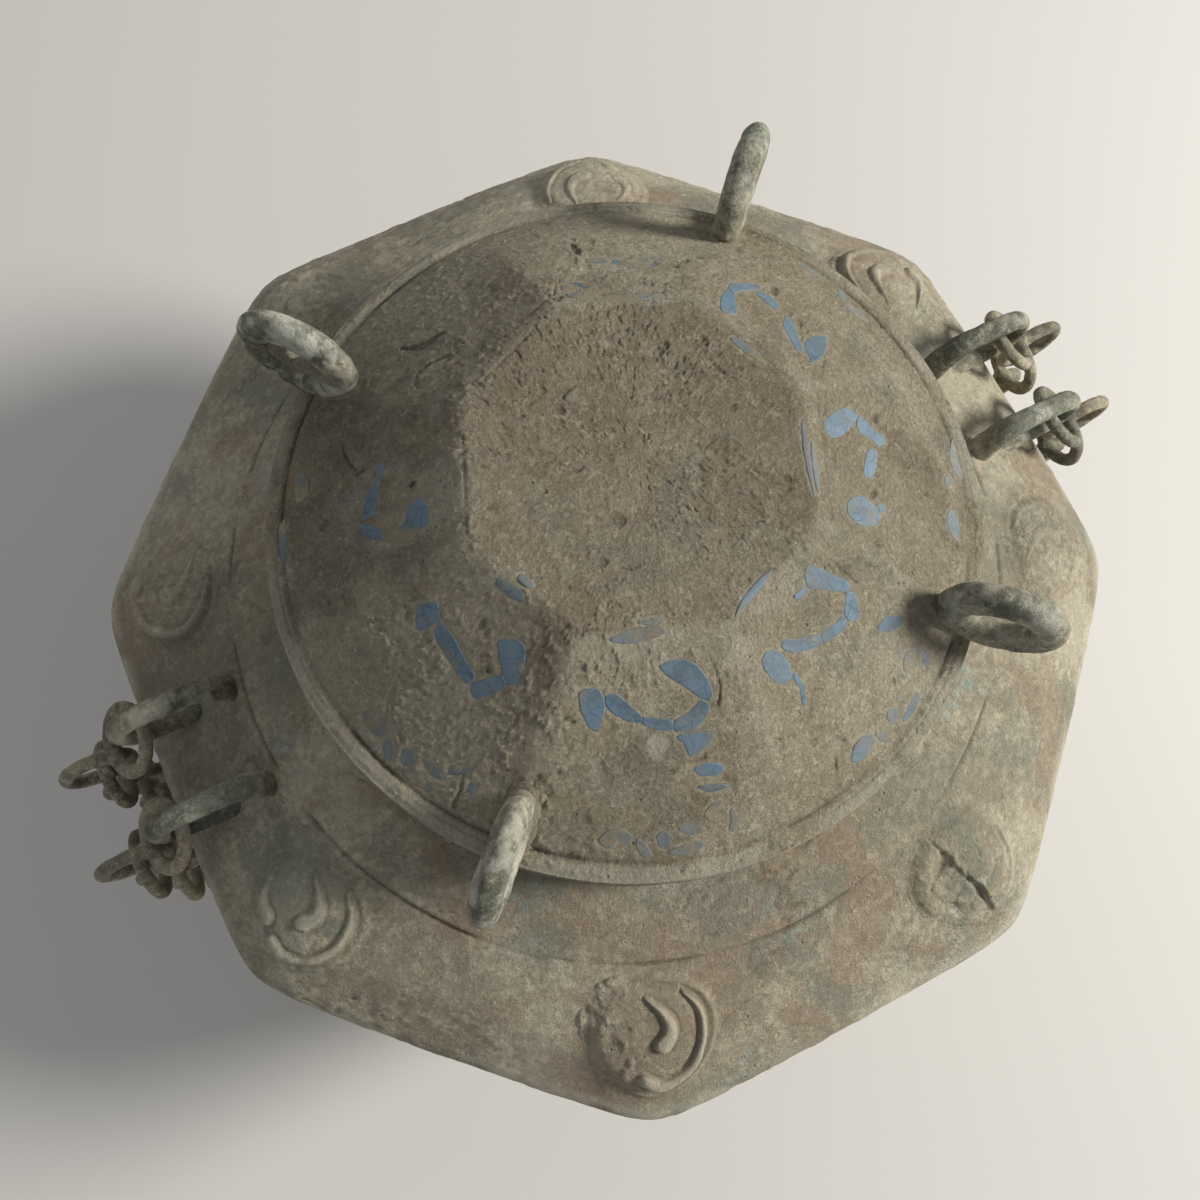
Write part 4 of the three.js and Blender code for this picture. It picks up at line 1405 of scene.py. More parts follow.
    @staticmethod
    def local(k: int, px: Array, py: Array) -> tuple[Array, Array]:
        """Places on facet k of plan coordinates: the reverse of `plan`."""
        a = math.radians(corner_angle(k))
        return -px * math.sin(a) + py * math.cos(a), px * math.cos(a) + py * math.sin(a)


@dataclass
class Lid:
    """The cap lid: eight facets that melt into a round rim, a skirt, and the inlay let into it."""

    finishes: Finishes
    inlay: InlayPattern = field(default_factory=InlayPattern)
    floor: float = 212.3
    rim_height: float = 253.3
    dome_rise: float = 44.0
    top_apothem: float = 47.0
    skirt_inner: float = 105.2
    skirt_outer: float = 109.7
    bead: float = 1.6
    wall: float = 4.5
    rim_cut: float = 105.2
    rim_line: float = 107.8
    table_size: int = 1600
    table_ease: int = 22
    noise: LatticeNoise = field(default_factory=lambda: LatticeNoise(23))

    # Outside of the dome from the top plate outwards: share of its run, share of its drop, squareness.
    dome_curve = (
        (0.0, 0.0, 1.0), (0.05, 0.035, 1.0), (0.3, 0.27, 0.85), (0.58, 0.56, 0.5), (0.82, 0.82, 0.15),
        (0.95, 0.965, 0.0),
    )

    # Marks on the top plate and its neighbours: short cracks and dents, as plan x, y and half width.
    scars = (
        ((-8.0, -19.0, 0.1), (-3.6, -20.6, 0.25), (2.0, -18.6, 0.2), (5.0, -14.0, 0.25)),
        ((31.0, 18.0, 0.1), (33.0, 14.0, 0.7), (35.0, 10.0, 0.3)),
        ((-12.0, 24.0, 0.3), (-8.0, 27.0, 0.7), (-5.0, 27.0, 0.3)),
        ((-20.0, -24.0, 0.2), (-16.0, -27.0, 0.5), (-11.0, -27.0, 0.2)),
    )

    # Rows of a blue piece's grid: share of the way from its middle to its outline.
    tile_rows = (1.0, 0.985, 0.965, 0.94, 0.9, 0.84, 0.76, 0.66, 0.54, 0.4, 0.2, 0.0)

    def __post_init__(self) -> None:
        """Works out the table of the dome: apothem, height and squareness."""
        run = self.skirt_outer - self.top_apothem
        top = self.rim_height + self.dome_rise
        rows = [(0.0, top, 1.0)]
        for share, drop, square in self.dome_curve:
            rows.append((self.top_apothem + run * share, top - self.dome_rise * drop, square))
        rows.append((self.skirt_outer + self.bead + 4.0, self.rim_height - 1.6, 0.0))
        table = np.array(rows)
        self.reach = np.linspace(0.0, table[-1, 0], self.table_size)
        dense = [np.interp(self.reach, table[:, 0], table[:, i]) for i in (1, 2)]
        window = np.hanning(2 * self.table_ease + 1)
        window /= window.sum()
        padded = [np.pad(row, self.table_ease, mode="reflect", reflect_type="odd") for row in dense]
        self.height_table, self.square_table = (np.convolve(row, window, mode="valid") for row in padded)

    @staticmethod
    def facet_octagon(x: Array, y: Array) -> Array:
        """The facets' octagon over its apothem, in the direction of each plan point."""
        return octagon(np.degrees(np.arctan2(y, x)) - EIGHTH / 2, 2.0)

    def surface(self, x: Array, y: Array) -> Array:
        """Height of the plain dome over plan points.

        The apothem of radius = apothem * (1 + squareness * (octagon - 1)) is found by repeated substitution.

        Args:
            x: plan x.
            y: plan y.

        Returns:
            Height above the ground in millimetres.
        """
        radius = np.hypot(x, y)
        factor = self.facet_octagon(x, y) - 1.0
        apothem = radius
        for _ in range(5):
            apothem = radius / (1.0 + np.interp(apothem, self.reach, self.square_table) * factor)
        return np.interp(apothem, self.reach, self.height_table)

    @staticmethod
    def beside(value: Array, span: Array, margin: float = 5.0) -> Array:
        """True where a value is no further from the middle of a span than half the span and a margin."""
        return np.abs(value - span.mean()) < np.ptp(span) / 2 + margin

    def inlay_reach(
        self, x: Array, y: Array, ragged_x: Array, ragged_y: Array
    ) -> tuple[Array, Array, Array]:
        """Distances over the lid to the nearest blue piece and the nearest crack, and each facet's soil.

        Each outline is tested only on points near its own box.

        Args:
            x: plan x.
            y: plan y.
            ragged_x: plan x with a fine shake, for cracks.
            ragged_y: plan y with a fine shake, for cracks.

        Returns:
            Distance to blue pieces, distance to cracks, and how much soil lies on the facet.
        """
        facet = np.floor((np.degrees(np.arctan2(y, x)) % 360.0) / EIGHTH).astype(int) % 8
        blue = np.full(np.shape(x), 50.0)
        crack = np.full(np.shape(x), 50.0)
        for k, left in enumerate(self.inlay.facets):
            u, out = self.inlay.local(k, x, y)
            for corners in (*left.scroll, *left.border, *left.rim):
                line = eased_outline(corners)
                near = (facet == k) & self.beside(u, line[:, 0]) & self.beside(out, line[:, 1])
                blue[near] = np.minimum(blue[near], distance_to_outline(u[near], out[near], line))
            u, out = self.inlay.local(k, ragged_x, ragged_y)
            for stroke in left.cracks:
                middle = np.array(stroke).mean(axis=0)
                near = (np.hypot(u - middle[0], out - middle[1]) < 16.0) & (out > 0.0)
                reach = distance_to_strokes(u[near], out[near], [rounded_line(list(stroke), 4)])
                crack[near] = np.minimum(crack[near], reach)
        for stroke in self.scars:
            reach = distance_to_strokes(ragged_x, ragged_y, [rounded_line(list(stroke), 4)])
            crack = np.minimum(crack, reach)
        soil = np.array([left.soil for left in self.inlay.facets])[facet]
        return blue, crack, soil

    def relief(self, x: Array, y: Array) -> tuple[Array, Marks]:
        """Height of crust, cuts and cracks over the plain dome.

        Soil crumbs lie thick on the top plate and thinner on the facets, and stay off clean inlay. A pale
        joint runs round each blue piece, cracks and dents are sunk, and a fine step follows the rim.

        Args:
            x: plan x.
            y: plan y.

        Returns:
            Height in millimetres, and the mesh marks.
        """
        noise = self.noise
        flat = np.stack([x, y, 0.0 * x], axis=-1)
        radius = np.hypot(x, y)
        ragged_x = x + 0.5 * noise.layered(flat + 800.0, 2.6, 3)
        ragged_y = y + 0.5 * noise.layered(flat + 840.0, 2.6, 3)
        blue, crack, soil = self.inlay_reach(x, y, ragged_x, ragged_y)
        edge = radius / self.facet_octagon(x, y)
        plate = fade(-edge, -49.0, -45.0)
        spread = noise.patches(flat, 70.0, 24.0, 5, -0.25, 0.2, 0.62)
        lumps = noise.layered(flat + 120.0, 3.6, 4, 0.66)
        crust = np.maximum(spread, 0.7 * plate) * fade(lumps, -0.2, 0.35)
        clods = noise.patches(flat, 150.0, 9.0, 4, 0.3, 0.5, 0.66) * fade(spread, 0.2, 0.8)
        grit = noise.patches(flat, 660.0, 1.4, 2, 0.1, 0.5, 0.7) * (0.35 + 0.65 * spread)
        clean = fade(-blue, -1.2, 0.2) * (1.0 - soil)
        joint = bell(blue, 0.2, 0.34) * (1.0 - 0.8 * soil) * noise.patches(flat, 200.0, 9.0, 3, -0.35, 0.0)
        dark = 0.7 * fade(-crack, 0.0, 0.55)
        worn = noise.layered(flat + 260.0, 20.0, 3)
        facet_edge = bell(edge, 47.2, 0.5) * fade(worn, -0.1, 0.2)
        facet_edge += bell(edge, 52.4, 0.35) * fade(-worn, -0.1, 0.15)
        rim_cut = bell(radius, self.rim_cut, 0.55)
        rim_cut *= 0.3 + 0.7 * noise.patches(flat, 900.0, 30.0, 2, -0.2, 0.1)
        rim_line = bell(radius, self.rim_line, 0.4) * noise.patches(flat, 950.0, 26.0, 2, -0.1, 0.2)
        bead = fade(radius, 105.8, 107.0) * fade(-radius, -110.6, -109.4)
        veins = bell(noise.layered(flat + 500.0, 13.0, 4, 0.62), 0.0, 0.018)
        veins *= noise.patches(flat, 560.0, 26.0, 2, 0.1, 0.3) * (1.0 - clean)
        pock = noise.patches(flat, 410.0, 5.0, 3, 0.5, 0.66) * (1.0 - clean)
        height = self.dents(flat) + (0.22 * crust + 0.32 * clods + 0.4 * grit) * (1.0 - clean)
        height += 0.1 * joint + 0.5 * bead - 0.14 * clean - 1.1 * dark
        height -= 0.3 * facet_edge + 0.95 * rim_cut + 0.3 * rim_line + 0.3 * veins + 0.45 * pock
        hollow = 0.6 * dark + 0.3 * facet_edge + 0.8 * rim_cut + 0.3 * rim_line + 0.2 * veins + 0.3 * pock
        # Painted shade: the side of the lid away from the key lamp is darkened, through the hollow mark.
        far_side_shade = fade(-np.hypot(x + 52.0, y - 52.0), -42.0, -20.0) * fade(lumps, -0.4, 0.4)
        turn = (np.degrees(np.arctan2(y, x)) + EIGHTH / 2) % EIGHTH - EIGHTH / 2
        ridge = fade(-np.abs(np.radians(turn)) * radius, -3.0, -0.6)
        ridge *= fade(radius, 47.0, 56.0) * fade(-radius, -100.0, -80.0) * fade(lumps, -0.3, 0.2)
        rim_light = fade(radius, 106.0, 107.4) * noise.patches(flat, 990.0, 18.0, 3, -0.4, 0.1)
        band = fade(edge, 46.5, 49.5) * fade(-edge, -62.0, -53.0)
        band *= noise.patches(flat, 610.0, 13.0, 4, -0.2, 0.25, 0.62)
        u, out = self.inlay.local(5, x, y)
        chip = fade(-np.hypot(u - 0.5, out - 75.5) - 1.6 * lumps, -4.2, -2.4)
        pale = 0.4 * joint + 0.3 * band + 0.9 * chip + 0.35 * ridge + 0.75 * rim_light
        brown = np.maximum(0.85 * plate, noise.patches(flat, 710.0, 40.0, 5, 0.08, 0.4, 0.62) * (1.0 - band))
        marks = {
            "hollow": np.clip(hollow + 0.4 * far_side_shade, 0.0, 1.0),
            "crust": crust * (1.0 - clean),
            "pale": np.clip(pale, 0.0, 1.0),
            "brown": brown * (1.0 - joint),
        }
        return height, marks

    def dents(self, flat: Array) -> Array:
        """Broad unevenness of the cast skin, shared by the bronze and the inlay in it."""
        return 0.45 * self.noise.layered(flat, 60.0, 2) + 0.14 * self.noise.layered(flat + 30.0, 15.0, 2)

    def build_dome(self) -> None:
        """The dome in four quarters, each a polar grid lifted onto the surface."""
        edge = self.skirt_outer + self.bead - 0.4
        radius = np.concatenate([[0.0], np.linspace(0.6, edge, 214)])
        for k in range(4):
            degrees = np.linspace(90.0 * k, 90.0 * (k + 1), 301)
            plan = polar(radius[:, None], degrees[None], np.zeros((1, 1)))[::-1]
            x, y = plan[..., 0], plan[..., 1]
            height, marks = self.relief(x, y)
            settle = fade(-np.hypot(x, y), -edge, -edge + 2.5)
            points = np.stack([x, y, self.surface(x, y) + height * settle], axis=-1)
            made = MeshMaker.join(f"lid_dome_{k + 1}", [(points, False)], marks)
            dress(made, self.finishes.lid, Body.LID.value, Slot.LID, "lid")

    def build_skirt(self) -> None:
        """Rim bead, upright skirt and the hollow underside of the lid."""
        out = self.skirt_outer + self.bead
        edge = self.surface(np.array([out - 0.4]), np.array([0.0]))[0]
        under = self.wall * 1.25
        outer, inner = self.skirt_outer, self.skirt_inner
        skirt = [
            (out - 0.8, edge), (out, edge - 0.8), (out + 0.2, edge - 3.0), (out, self.rim_height - 6.0),
            (outer, self.rim_height - 8.0), (outer, self.floor + 0.8), (outer - 0.8, self.floor),
            (inner, self.floor), (inner, self.rim_height - self.wall),
        ]
        rows = [(r, z, 0.0) for r, z in skirt]
        for share, drop, square in self.dome_curve[4:0:-1]:
            reach = self.top_apothem + (self.skirt_outer - self.top_apothem) * share
            ceiling = self.rim_height + self.dome_rise * (1.0 - drop) - under
            rows.append((min(reach, self.skirt_inner - 1.0), ceiling, square))
        rows.append((0.4, self.rim_height + self.dome_rise - under, 1.0))
        line = resample(np.array(rows), 190, 1.6)[::-1]
        points = carry_round(line, np.linspace(0.0, 360.0, 420, endpoint=False), EIGHTH / 2)
        normals = grid_normals(points, True)
        radius, level = line[:, :1], line[:, 1:2]
        band = bell(level, self.rim_height - 3.0, 0.9) * (radius > self.skirt_outer)
        height = 0.18 * self.noise.layered(points, 14.0, 4) + 0.1 * self.noise.layered(points + 50.0, 3.0, 3)
        points = points + normals * np.minimum(height - 0.35 * band, 0.25)[..., None]
        crust = self.noise.patches(points, 80.0, 20.0, 4, 0.0, 0.4)
        rim = fade(level, self.rim_height - 3.0, self.rim_height - 1.6) * (radius > self.skirt_outer + 0.4)
        marks = {
            "hollow": 0.45 * band * np.ones_like(crust),
            "crust": crust,
            "pale": 0.75 * rim * self.noise.patches(points, 990.0, 18.0, 3, -0.4, 0.1),
        }
        made = MeshMaker.join("lid_skirt", [(points, True)], marks)
        dress(made, self.finishes.lid, Body.LID.value, Slot.LID, "lid")

    def tile(self, k: int, corners: Outline, soil: float, film: float) -> tuple[Array, Array, Array]:
        """Grid of one blue piece: its outline shrunk to its middle, laid on the dome, its edge turned down.

        Row r holds middle + r * (outline - middle); the height falls where the outline is near.

        Args:
            k: facet that it lies on.
            corners: its outline.
            soil: how much soil lies on it.
            film: share of its colour hidden by thin soil all over.

        Returns:
            The grid, and its marks for the edge and for buried parts.
        """
        line = eased_outline(corners, 3)
        middle = line.mean(axis=0)
        share = np.array(self.tile_rows)[:, None, None]
        grid = middle + share * (line - middle)
        u, out = grid[..., 0], grid[..., 1]
        inset = np.maximum(-distance_to_outline(u, out, line), 0.0)
        inset[0] = 0.0
        px, py = self.inlay.plan(k, u, out)
        flat = np.stack([px, py, 0.0 * px], axis=-1)
        drop = 1.2 * (1.0 - fade(inset, -0.02, 0.3))
        chips = 0.12 * self.noise.layered(flat + 300.0, 3.0, 3)
        points = np.stack([px, py, self.surface(px, py) + self.dents(flat) + 0.04 + chips - drop], axis=-1)
        edge = 1.0 - fade(inset, 0.1, 0.5)
        lumps = self.noise.layered(flat + 500.0, 8.0, 5, 0.62)
        drift = fade(lumps, 0.42 - 1.05 * soil, 0.64 - 1.05 * soil)
        buried = np.maximum(drift, film * fade(lumps, -0.9, 0.3))
        turn = np.cross(points[1, 1] - points[1, 0], points[2, 0] - points[1, 0])[2]
        if turn < 0:
            return points[:, ::-1], edge[:, ::-1], buried[:, ::-1]
        return points, edge, buried

    def build_inlay(self) -> None:
        """Blue pieces of every facet: scroll, border and rim."""
        for k, left in enumerate(self.inlay.facets):
            for name, outlines, extra in left.kinds():
                soil = min(left.soil + extra, 1.0)
                parts = [self.tile(k, corners, soil, 0.2 + 1.6 * extra) for corners in outlines]
                marks = {
                    "edge": np.concatenate([edge.ravel() for _, edge, _ in parts]),
                    "buried": np.concatenate([buried.ravel() for _, _, buried in parts]),
                }
                made = MeshMaker.join(f"{name}_look_{k + 1}", [(grid, True) for grid, _, _ in parts], marks)
                dress(made, self.finishes.inlay, Body.LID.value, Slot.INLAY, f"{name}_{k + 1}")

    def build(self) -> None:
        """Builds the lid and its inlay."""
        self.build_dome()
        self.build_skirt()
        self.build_inlay()


@dataclass
class LidRings:
    """Four standing rings cast onto the ridges of the lid."""

    finishes: Finishes
    lid: Lid
    outer: float = 19.5
    hole: float = 8.0
    thick: float = 9.0
    stand: float = 15.6
    lean: float = 48.0
    collar_out: float = 11.5
    collar_side: float = 7.2
    collar_rise: float = 1.9
    plugged: int = 1
    plug_hole: float = 2.3
    plug_bulge: float = 2.6
    places: tuple[tuple[float, float], ...] = ((45.0, 11.0), (131.0, 13.0), (225.0, 10.5), (315.0, 8.0))
    # Strength of the pale crust patches on each ring, partly real whitish crust and partly painted light: it
    # is highest on the ring at 131 degrees, which faces away from the key lamp.
    pale_crust_and_light: tuple[float, ...] = (0.3, 0.9, 0.6, 0.4)
    noise: LatticeNoise = field(default_factory=lambda: LatticeNoise(37))

    def centre(self, angle: float, inset: float) -> tuple[Array, Array]:
        """Where a ring stands.

        Args:
            angle: its angle round the lid, in degrees.
            inset: how far inside the lid's edge its foot is.

        Returns:
            The ring's middle and the outward direction it stands in.
        """
        a = math.radians(angle)
        out = np.array([math.cos(a), math.sin(a), 0.0])
        lean = math.radians(self.lean)
        foot = self.lid.skirt_outer - inset
        height = self.lid.rim_height + inset * 0.75 + self.stand * math.cos(lean)
        return out * (foot + self.stand * math.sin(lean)) + [0.0, 0.0, height], out

    def build(self) -> None:
        """Each ring: an oval bar bent round, a little uneven, with a soil collar at its foot."""
        up = np.array([0.0, 0.0, 1.0])
        t = 2 * np.pi * np.arange(150) / 150
        middle = (self.outer + self.hole) / 2
        for k, (angle, inset) in enumerate(self.places):
            centre, out = self.centre(angle, inset)
            axis = np.cross(out, up)
            path = centre + middle * (np.cos(t)[:, None] * up + np.sin(t)[:, None] * out)
            half_in = (self.outer - self.hole) / 2 * (1.0 + 0.05 * np.sin(2 * t + k))
            half_across = self.thick / 2 * (1.0 + 0.06 * np.cos(t + 2 * k))
            grid = sweep(path, axis, half_across, half_in, 44, True)
            normals = grid_normals(grid, True)
            outwards = grid - np.vstack([path, path[:1]])[:, None]
            normals *= np.sign(np.sum(normals * outwards, axis=-1).mean())
            height = 0.35 * self.noise.layered(grid, 12.0, 3) - 0.12
            height += 0.3 * self.noise.layered(grid + 60.0, 3.5, 3)
            spread = self.noise.patches(grid, 90.0, 11.0, 3, 0.0, 0.35)
            grid = grid + normals * height[..., None]
            low = fade(self.lid.surface(grid[..., 0], grid[..., 1]) - grid[..., 2], -4.5, 0.5)
            marks = {
                "hollow": 0.5 * fade(-height, 0.15, 0.5),
                "crust": np.clip(spread + low, 0.0, 1.0),
                "pale": self.pale_crust_and_light[k] * self.noise.patches(grid, 130.0, 8.0, 5, -0.1, 0.3, 0.75),
                "brown": low,
            }
            grid, marks = face_outwards(grid, marks, normals, 0)
            made = MeshMaker.join(f"lid_ring_look_{k + 1}", [(grid, True)], marks)
            dress(made, self.finishes.ring, Body.LID.value, Slot.RING, f"lid_ring_{k + 1}")
            self.build_collar(k, angle, inset)
            if k == self.plugged:
                self.build_plug(centre, axis, up, out)

    def build_collar(self, k: int, angle: float, inset: float) -> None:
        """Low mound of soil and casting metal where a ring meets the lid.

        Args:
            k: number of the ring.
            angle: its angle round the lid, in degrees.
            inset: how far inside the lid's edge its foot is.
        """
        a = math.radians(angle)
        out = np.array([math.cos(a), math.sin(a)])
        side = np.array([-out[1], out[0]])
        centre = out * (self.lid.skirt_outer - inset)
        s = np.linspace(0.02, 1.0, 26)[:, None]
        t = np.linspace(0.0, 2 * np.pi, 72, endpoint=False)[None]
        away = (s * np.cos(t))[..., None] * out * self.collar_out
        away = away + (s * np.sin(t))[..., None] * side * self.collar_side
        flat = np.dstack([centre + away, 0.0 * s * t])
        ragged = self.noise.layered(flat + 20.0 * k, 6.0, 3)
        plan = centre + away * (1.0 + 0.22 * ragged)[..., None]
        lumps = 1.0 + 0.5 * self.noise.layered(flat + 77.0, 4.0, 3)
        x, y = plan[..., 0], plan[..., 1]
        inside = fade(-np.hypot(x, y), -self.lid.skirt_outer, -self.lid.skirt_outer + 3.0)
        mound = self.collar_rise * fade(1.0 - s, 0.0, 0.9) * lumps * inside
        z = self.lid.surface(x, y) + mound - 0.9 * fade(s, 0.8, 1.0)
        grid = np.stack([x, y, z], axis=-1)[::-1]
        marks = {"hollow": np.zeros_like(z), "crust": np.ones_like(z)}
        made = MeshMaker.join(f"ring_collar_{k + 1}", [(grid, True)], marks)
        dress(made, self.finishes.lid, Body.LID.value, Slot.LID)

    def build_plug(self, centre: Array, axis: Array, up: Array, out: Array) -> None:
        """Hard soil that nearly fills one ring's hole, leaving a small gap.

        Args:
            centre: the ring's middle.
            axis: unit vector along its hole.
            up: unit vector upwards.
            out: unit vector away from the lid's middle.
        """
        s = np.linspace(0.0, 1.0, 34)[:, None]
        t = np.linspace(0.0, 2 * np.pi, 80, endpoint=False)[None]
        inner = self.plug_hole + 1.1 * np.sin(t + 0.6) + 0.5 * np.sin(3 * t)
        reach = self.hole + 1.4 - inner
        r = inner + reach * np.sin(np.pi * s / 2) ** 0.8
        bulge = self.plug_bulge * np.sqrt(np.clip((r - inner) / reach, 0.0, 1.0)) * (1.0 - 0.35 * s)
        disc = centre + (r * np.cos(t))[..., None] * up + (r * np.sin(t))[..., None] * out
        thick = bulge + 0.5 * self.noise.layered(disc + 5.0, 4.0, 3) * fade(s, 0.05, 0.3)
        front = disc + thick[..., None] * axis
        back = (disc - thick[..., None] * axis)[::-1]
        faces = [front, back]
        if np.sum(np.cross(front[5, 1] - front[5, 0], front[6, 0] - front[5, 0]) * axis) < 0:
            faces = [face[::-1] for face in faces]
        count = 2 * thick.size
        marks = {"hollow": np.zeros(count), "crust": np.ones(count)}
        made = MeshMaker.join("ring_soil_plug", [(face, True) for face in faces], marks)
        dress(made, self.finishes.lid, Body.LID.value, Slot.LID)


@dataclass
class Chains:
    """Two hanging chains: lugs on the shoulder, three links a strand and one link across the bottom."""

    finishes: Finishes
    vessel: Vessel
    spacing: float = 35.5
    tip_radius: float = 10.0
    lug_thick: float = 6.4
    lug_wide: float = 7.6
    lug_height: float = 30.0
    overhang: float = 8.5
    root: float = 40.0
    eye: float = 11.0
    wire: float = 5.4
    neck_half: float = 3.5
    neck_reach: float = 3.2
    bottom_neck_half: float = 3.1
    pitch: float = 24.0
    bottom_pitch: float = 29.0
    first_lean: float = 45.0
    gap: float = 0.4
    melt_size: float = 0.62
    noise: LatticeNoise = field(default_factory=lambda: LatticeNoise(53))

    def lug_path(self, side: float, y: float) -> Array:
        """Centre line of a lug: up from the shoulder, out over the belly's edge, round and back.

        Args:
            side: 1 for the right side, -1 for the left.
            y: its place across.

        Returns:
            Points by 3.
        """
        centre = self.vessel.apothem - self.overhang
        level = self.vessel.belly_height + self.lug_height
        back = ((0.0, -15.0), (2.0, -5.0), (6.0, 4.0), (12.0, 9.0), (19.0, self.tip_radius))
        rows = [(centre - (self.root - near) + self.tip_radius, level + z) for near, z in back]
        for degrees in np.linspace(90.0, -90.0, 9):
            a = math.radians(degrees)
            rows.append((centre + self.tip_radius * math.cos(a), level + self.tip_radius * math.sin(a)))
        under = level - self.tip_radius
        rows += [(centre - 14.0, under - 2.0), (centre - 24.0, under - 10.0)]
        line = rounded_line(rows, 9)
        return np.stack([side * line[:, 0], np.full(len(line), y), line[:, 1]], axis=1)

    def build_lug(self, name: str, side: float, y: float) -> None:
        """One lug as an oval bar, thicker at its upper root.

        Args:
            name: the node it stands for.
            side: 1 for the right side, -1 for the left.
            y: its place across.
        """
        path = self.lug_path(side, y)
        across = np.array([0.0, 1.0, 0.0])
        share = np.linspace(0.0, 1.0, len(path))
        swell = 1.0 + 0.35 * fade(-share, -0.3, 0.0) + 0.12 * fade(share, 0.8, 1.0)
        half_in = self.lug_thick / 2 * (0.94 + 0.06 * swell)
        grid = sweep(path, across, self.lug_wide / 2 * swell, half_in, 32, False)
        normals = grid - path[:, None]
        normals /= np.linalg.norm(normals, axis=-1, keepdims=True)
        lumps = self.noise.layered(grid, 10.0, 3) + self.noise.layered(grid + 60.0, 3.0, 3)
        height = 0.22 * lumps - 0.16
        grid = grid + normals * height[..., None]
        crust = self.noise.patches(grid, 90.0, 9.0, 3, 0.05, 0.35)
        marks = {"hollow": 0.5 * fade(-height, 0.2, 0.45), "crust": crust, "pale": 0.35 * crust}
        grid, marks = face_outwards(grid, marks, normals, 3)
        made = MeshMaker.join(f"{name}_look", [(grid, True)], marks)
        dress(made, self.finishes.ring, Body.VESSEL.value, Slot.RING, name)

    def loop(self, centre: Array, axis: Array, start: Array, swell: float) -> Array:
        """Grid of one eye: round wire bent into a ring.

        Args:
            centre: its middle.
            axis: unit vector along its hole.
            start: unit vector towards its first point.
            swell: moves the places where the wire is thicker.

        Returns:
            The grid, closed on itself.
        """
        t = 2 * np.pi * np.arange(96) / 96
        path = centre + self.eye * (np.cos(t)[:, None] * start + np.sin(t)[:, None] * np.cross(axis, start))
        half = self.wire / 2 * (1.0 + 0.03 * np.sin(t + swell)) - 0.06
        return sweep(path, axis, half, half, 24, True)

    @staticmethod
    def neck(centre: Array, along: Array, across: Array, half: float) -> Array:
        """Grid of the short bar between two eyes, rounded off at both ends.

        Args:
            centre: its middle.
            along: from its middle to one end.
            across: unit vector square to it.
            half: half its thickness.

        Returns:
            The grid.
        """
        share = np.linspace(-1.0, 1.0, 20)
        bulge = half * np.sqrt(np.clip(1.0 - share**6, 0.0004, 1.0))
        return sweep(centre + along * share[:, None], across, bulge, bulge, 24, False)

    def fuse(self, node: str, shapes: list[Array], seed: float) -> None:
        """Melts overlapping grids into one skin with a voxel remesh, then roughens it.

        Args:
            node: the node it stands for, which is its body too.
            shapes: grids of the overlapping shapes.
            seed: moves the roughness, so that no two links are alike.
        """
        rough = MeshMaker.join(f"{node}_look_raw", [(grid, True) for grid in shapes])
        remesh = rough.modifiers.new("melt", "REMESH")
        remesh.mode = "VOXEL"
        remesh.voxel_size = self.melt_size * MM
        smooth = rough.modifiers.new("ease", "SMOOTH")
        smooth.factor = 0.5
        smooth.iterations = 5
        shown = rough.evaluated_get(bpy.context.evaluated_depsgraph_get())
        mesh = bpy.data.meshes.new_from_object(shown)
        bpy.data.objects.remove(rough)
        points, normals = np.empty((2, len(mesh.vertices) * 3), dtype=np.float32)
        mesh.vertices.foreach_get("co", points)
        mesh.vertices.foreach_get("normal", normals)
        points = points.reshape(-1, 3).astype(float) / MM
        normals = normals.reshape(-1, 3)
        broad = self.noise.layered(points + seed, 7.0, 3)
        fine = self.noise.layered(points + seed + 40.0, 2.6, 3)
        height = 0.2 * broad + 0.2 * fine - 0.14
        points = points + normals * np.minimum(height, 0.06)[:, None]
        mesh.vertices.foreach_set("co", (points * MM).astype(np.float32).ravel())
        crust = self.noise.patches(points, seed + 80.0, 9.0, 3, 0.0, 0.35)
        MeshMaker.keep_marks(mesh, {"hollow": 0.6 * fade(-height, 0.15, 0.4), "crust": crust})
        mesh.polygons.foreach_set("use_smooth", np.ones(len(mesh.polygons), dtype=bool))
        mesh.update()
        dress(MeshMaker.place(f"{node}_look", mesh), self.finishes.chain, node, Slot.CHAIN, node)

    def strand(self, side: float, y: float) -> list[tuple[Array, Array]]:
        """Where the links of one strand hang, from the lug down.

        Args:
            side: 1 for the right side, -1 for the left.
            y: the strand's place across.

        Returns:
            First eye's middle and direction of each link.
        """
        lean = math.radians(self.first_lean)
        along = np.array([side * math.sin(lean), 0.0, -math.cos(lean)])
        down = np.array([0.0, 0.0, -1.0])
        out = side * (self.vessel.apothem - self.overhang)
        tip = np.array([out, y, self.vessel.belly_height + self.lug_height])
        hang = self.eye - self.wire / 2 - self.lug_thick / 2 - self.gap
        places = [(tip + along * (self.tip_radius + hang), along)]
        drop = 2 * self.eye - self.wire - self.gap
        for _ in range(2):
            first, way = places[-1]
            places.append((first + way * self.pitch + down * drop, down))
        return places

    def build(self) -> None:
        """Builds lugs and links of both sides."""
        across = np.array([0.0, 1.0, 0.0])
        for side_name, side in (("right", 1.0), ("left", -1.0)):
            last = np.zeros(3)
            for strand_name, way in (("back", 1.0), ("front", -1.0)):
                y = way * self.spacing / 2
                self.build_lug(f"{side_name}_{strand_name}_lug", side, y)
                for i, (first, along) in enumerate(self.strand(side, y)):
                    last = first + along * self.pitch
                    upper = self.loop(first, np.cross(along, across), along, 1.0 + i)
                    lower = self.loop(last, across, along, 3.0 + i)
                    bar = self.neck((first + last) / 2, along * self.neck_reach, across, self.neck_half)
                    node = f"{side_name}_{strand_name}_link_{i + 1}"
                    self.fuse(node, [upper, lower, bar], 100.0 * side + 31.0 * way + 17.0 * i)
            self.build_bottom(f"{side_name}_bottom_link", side, last)

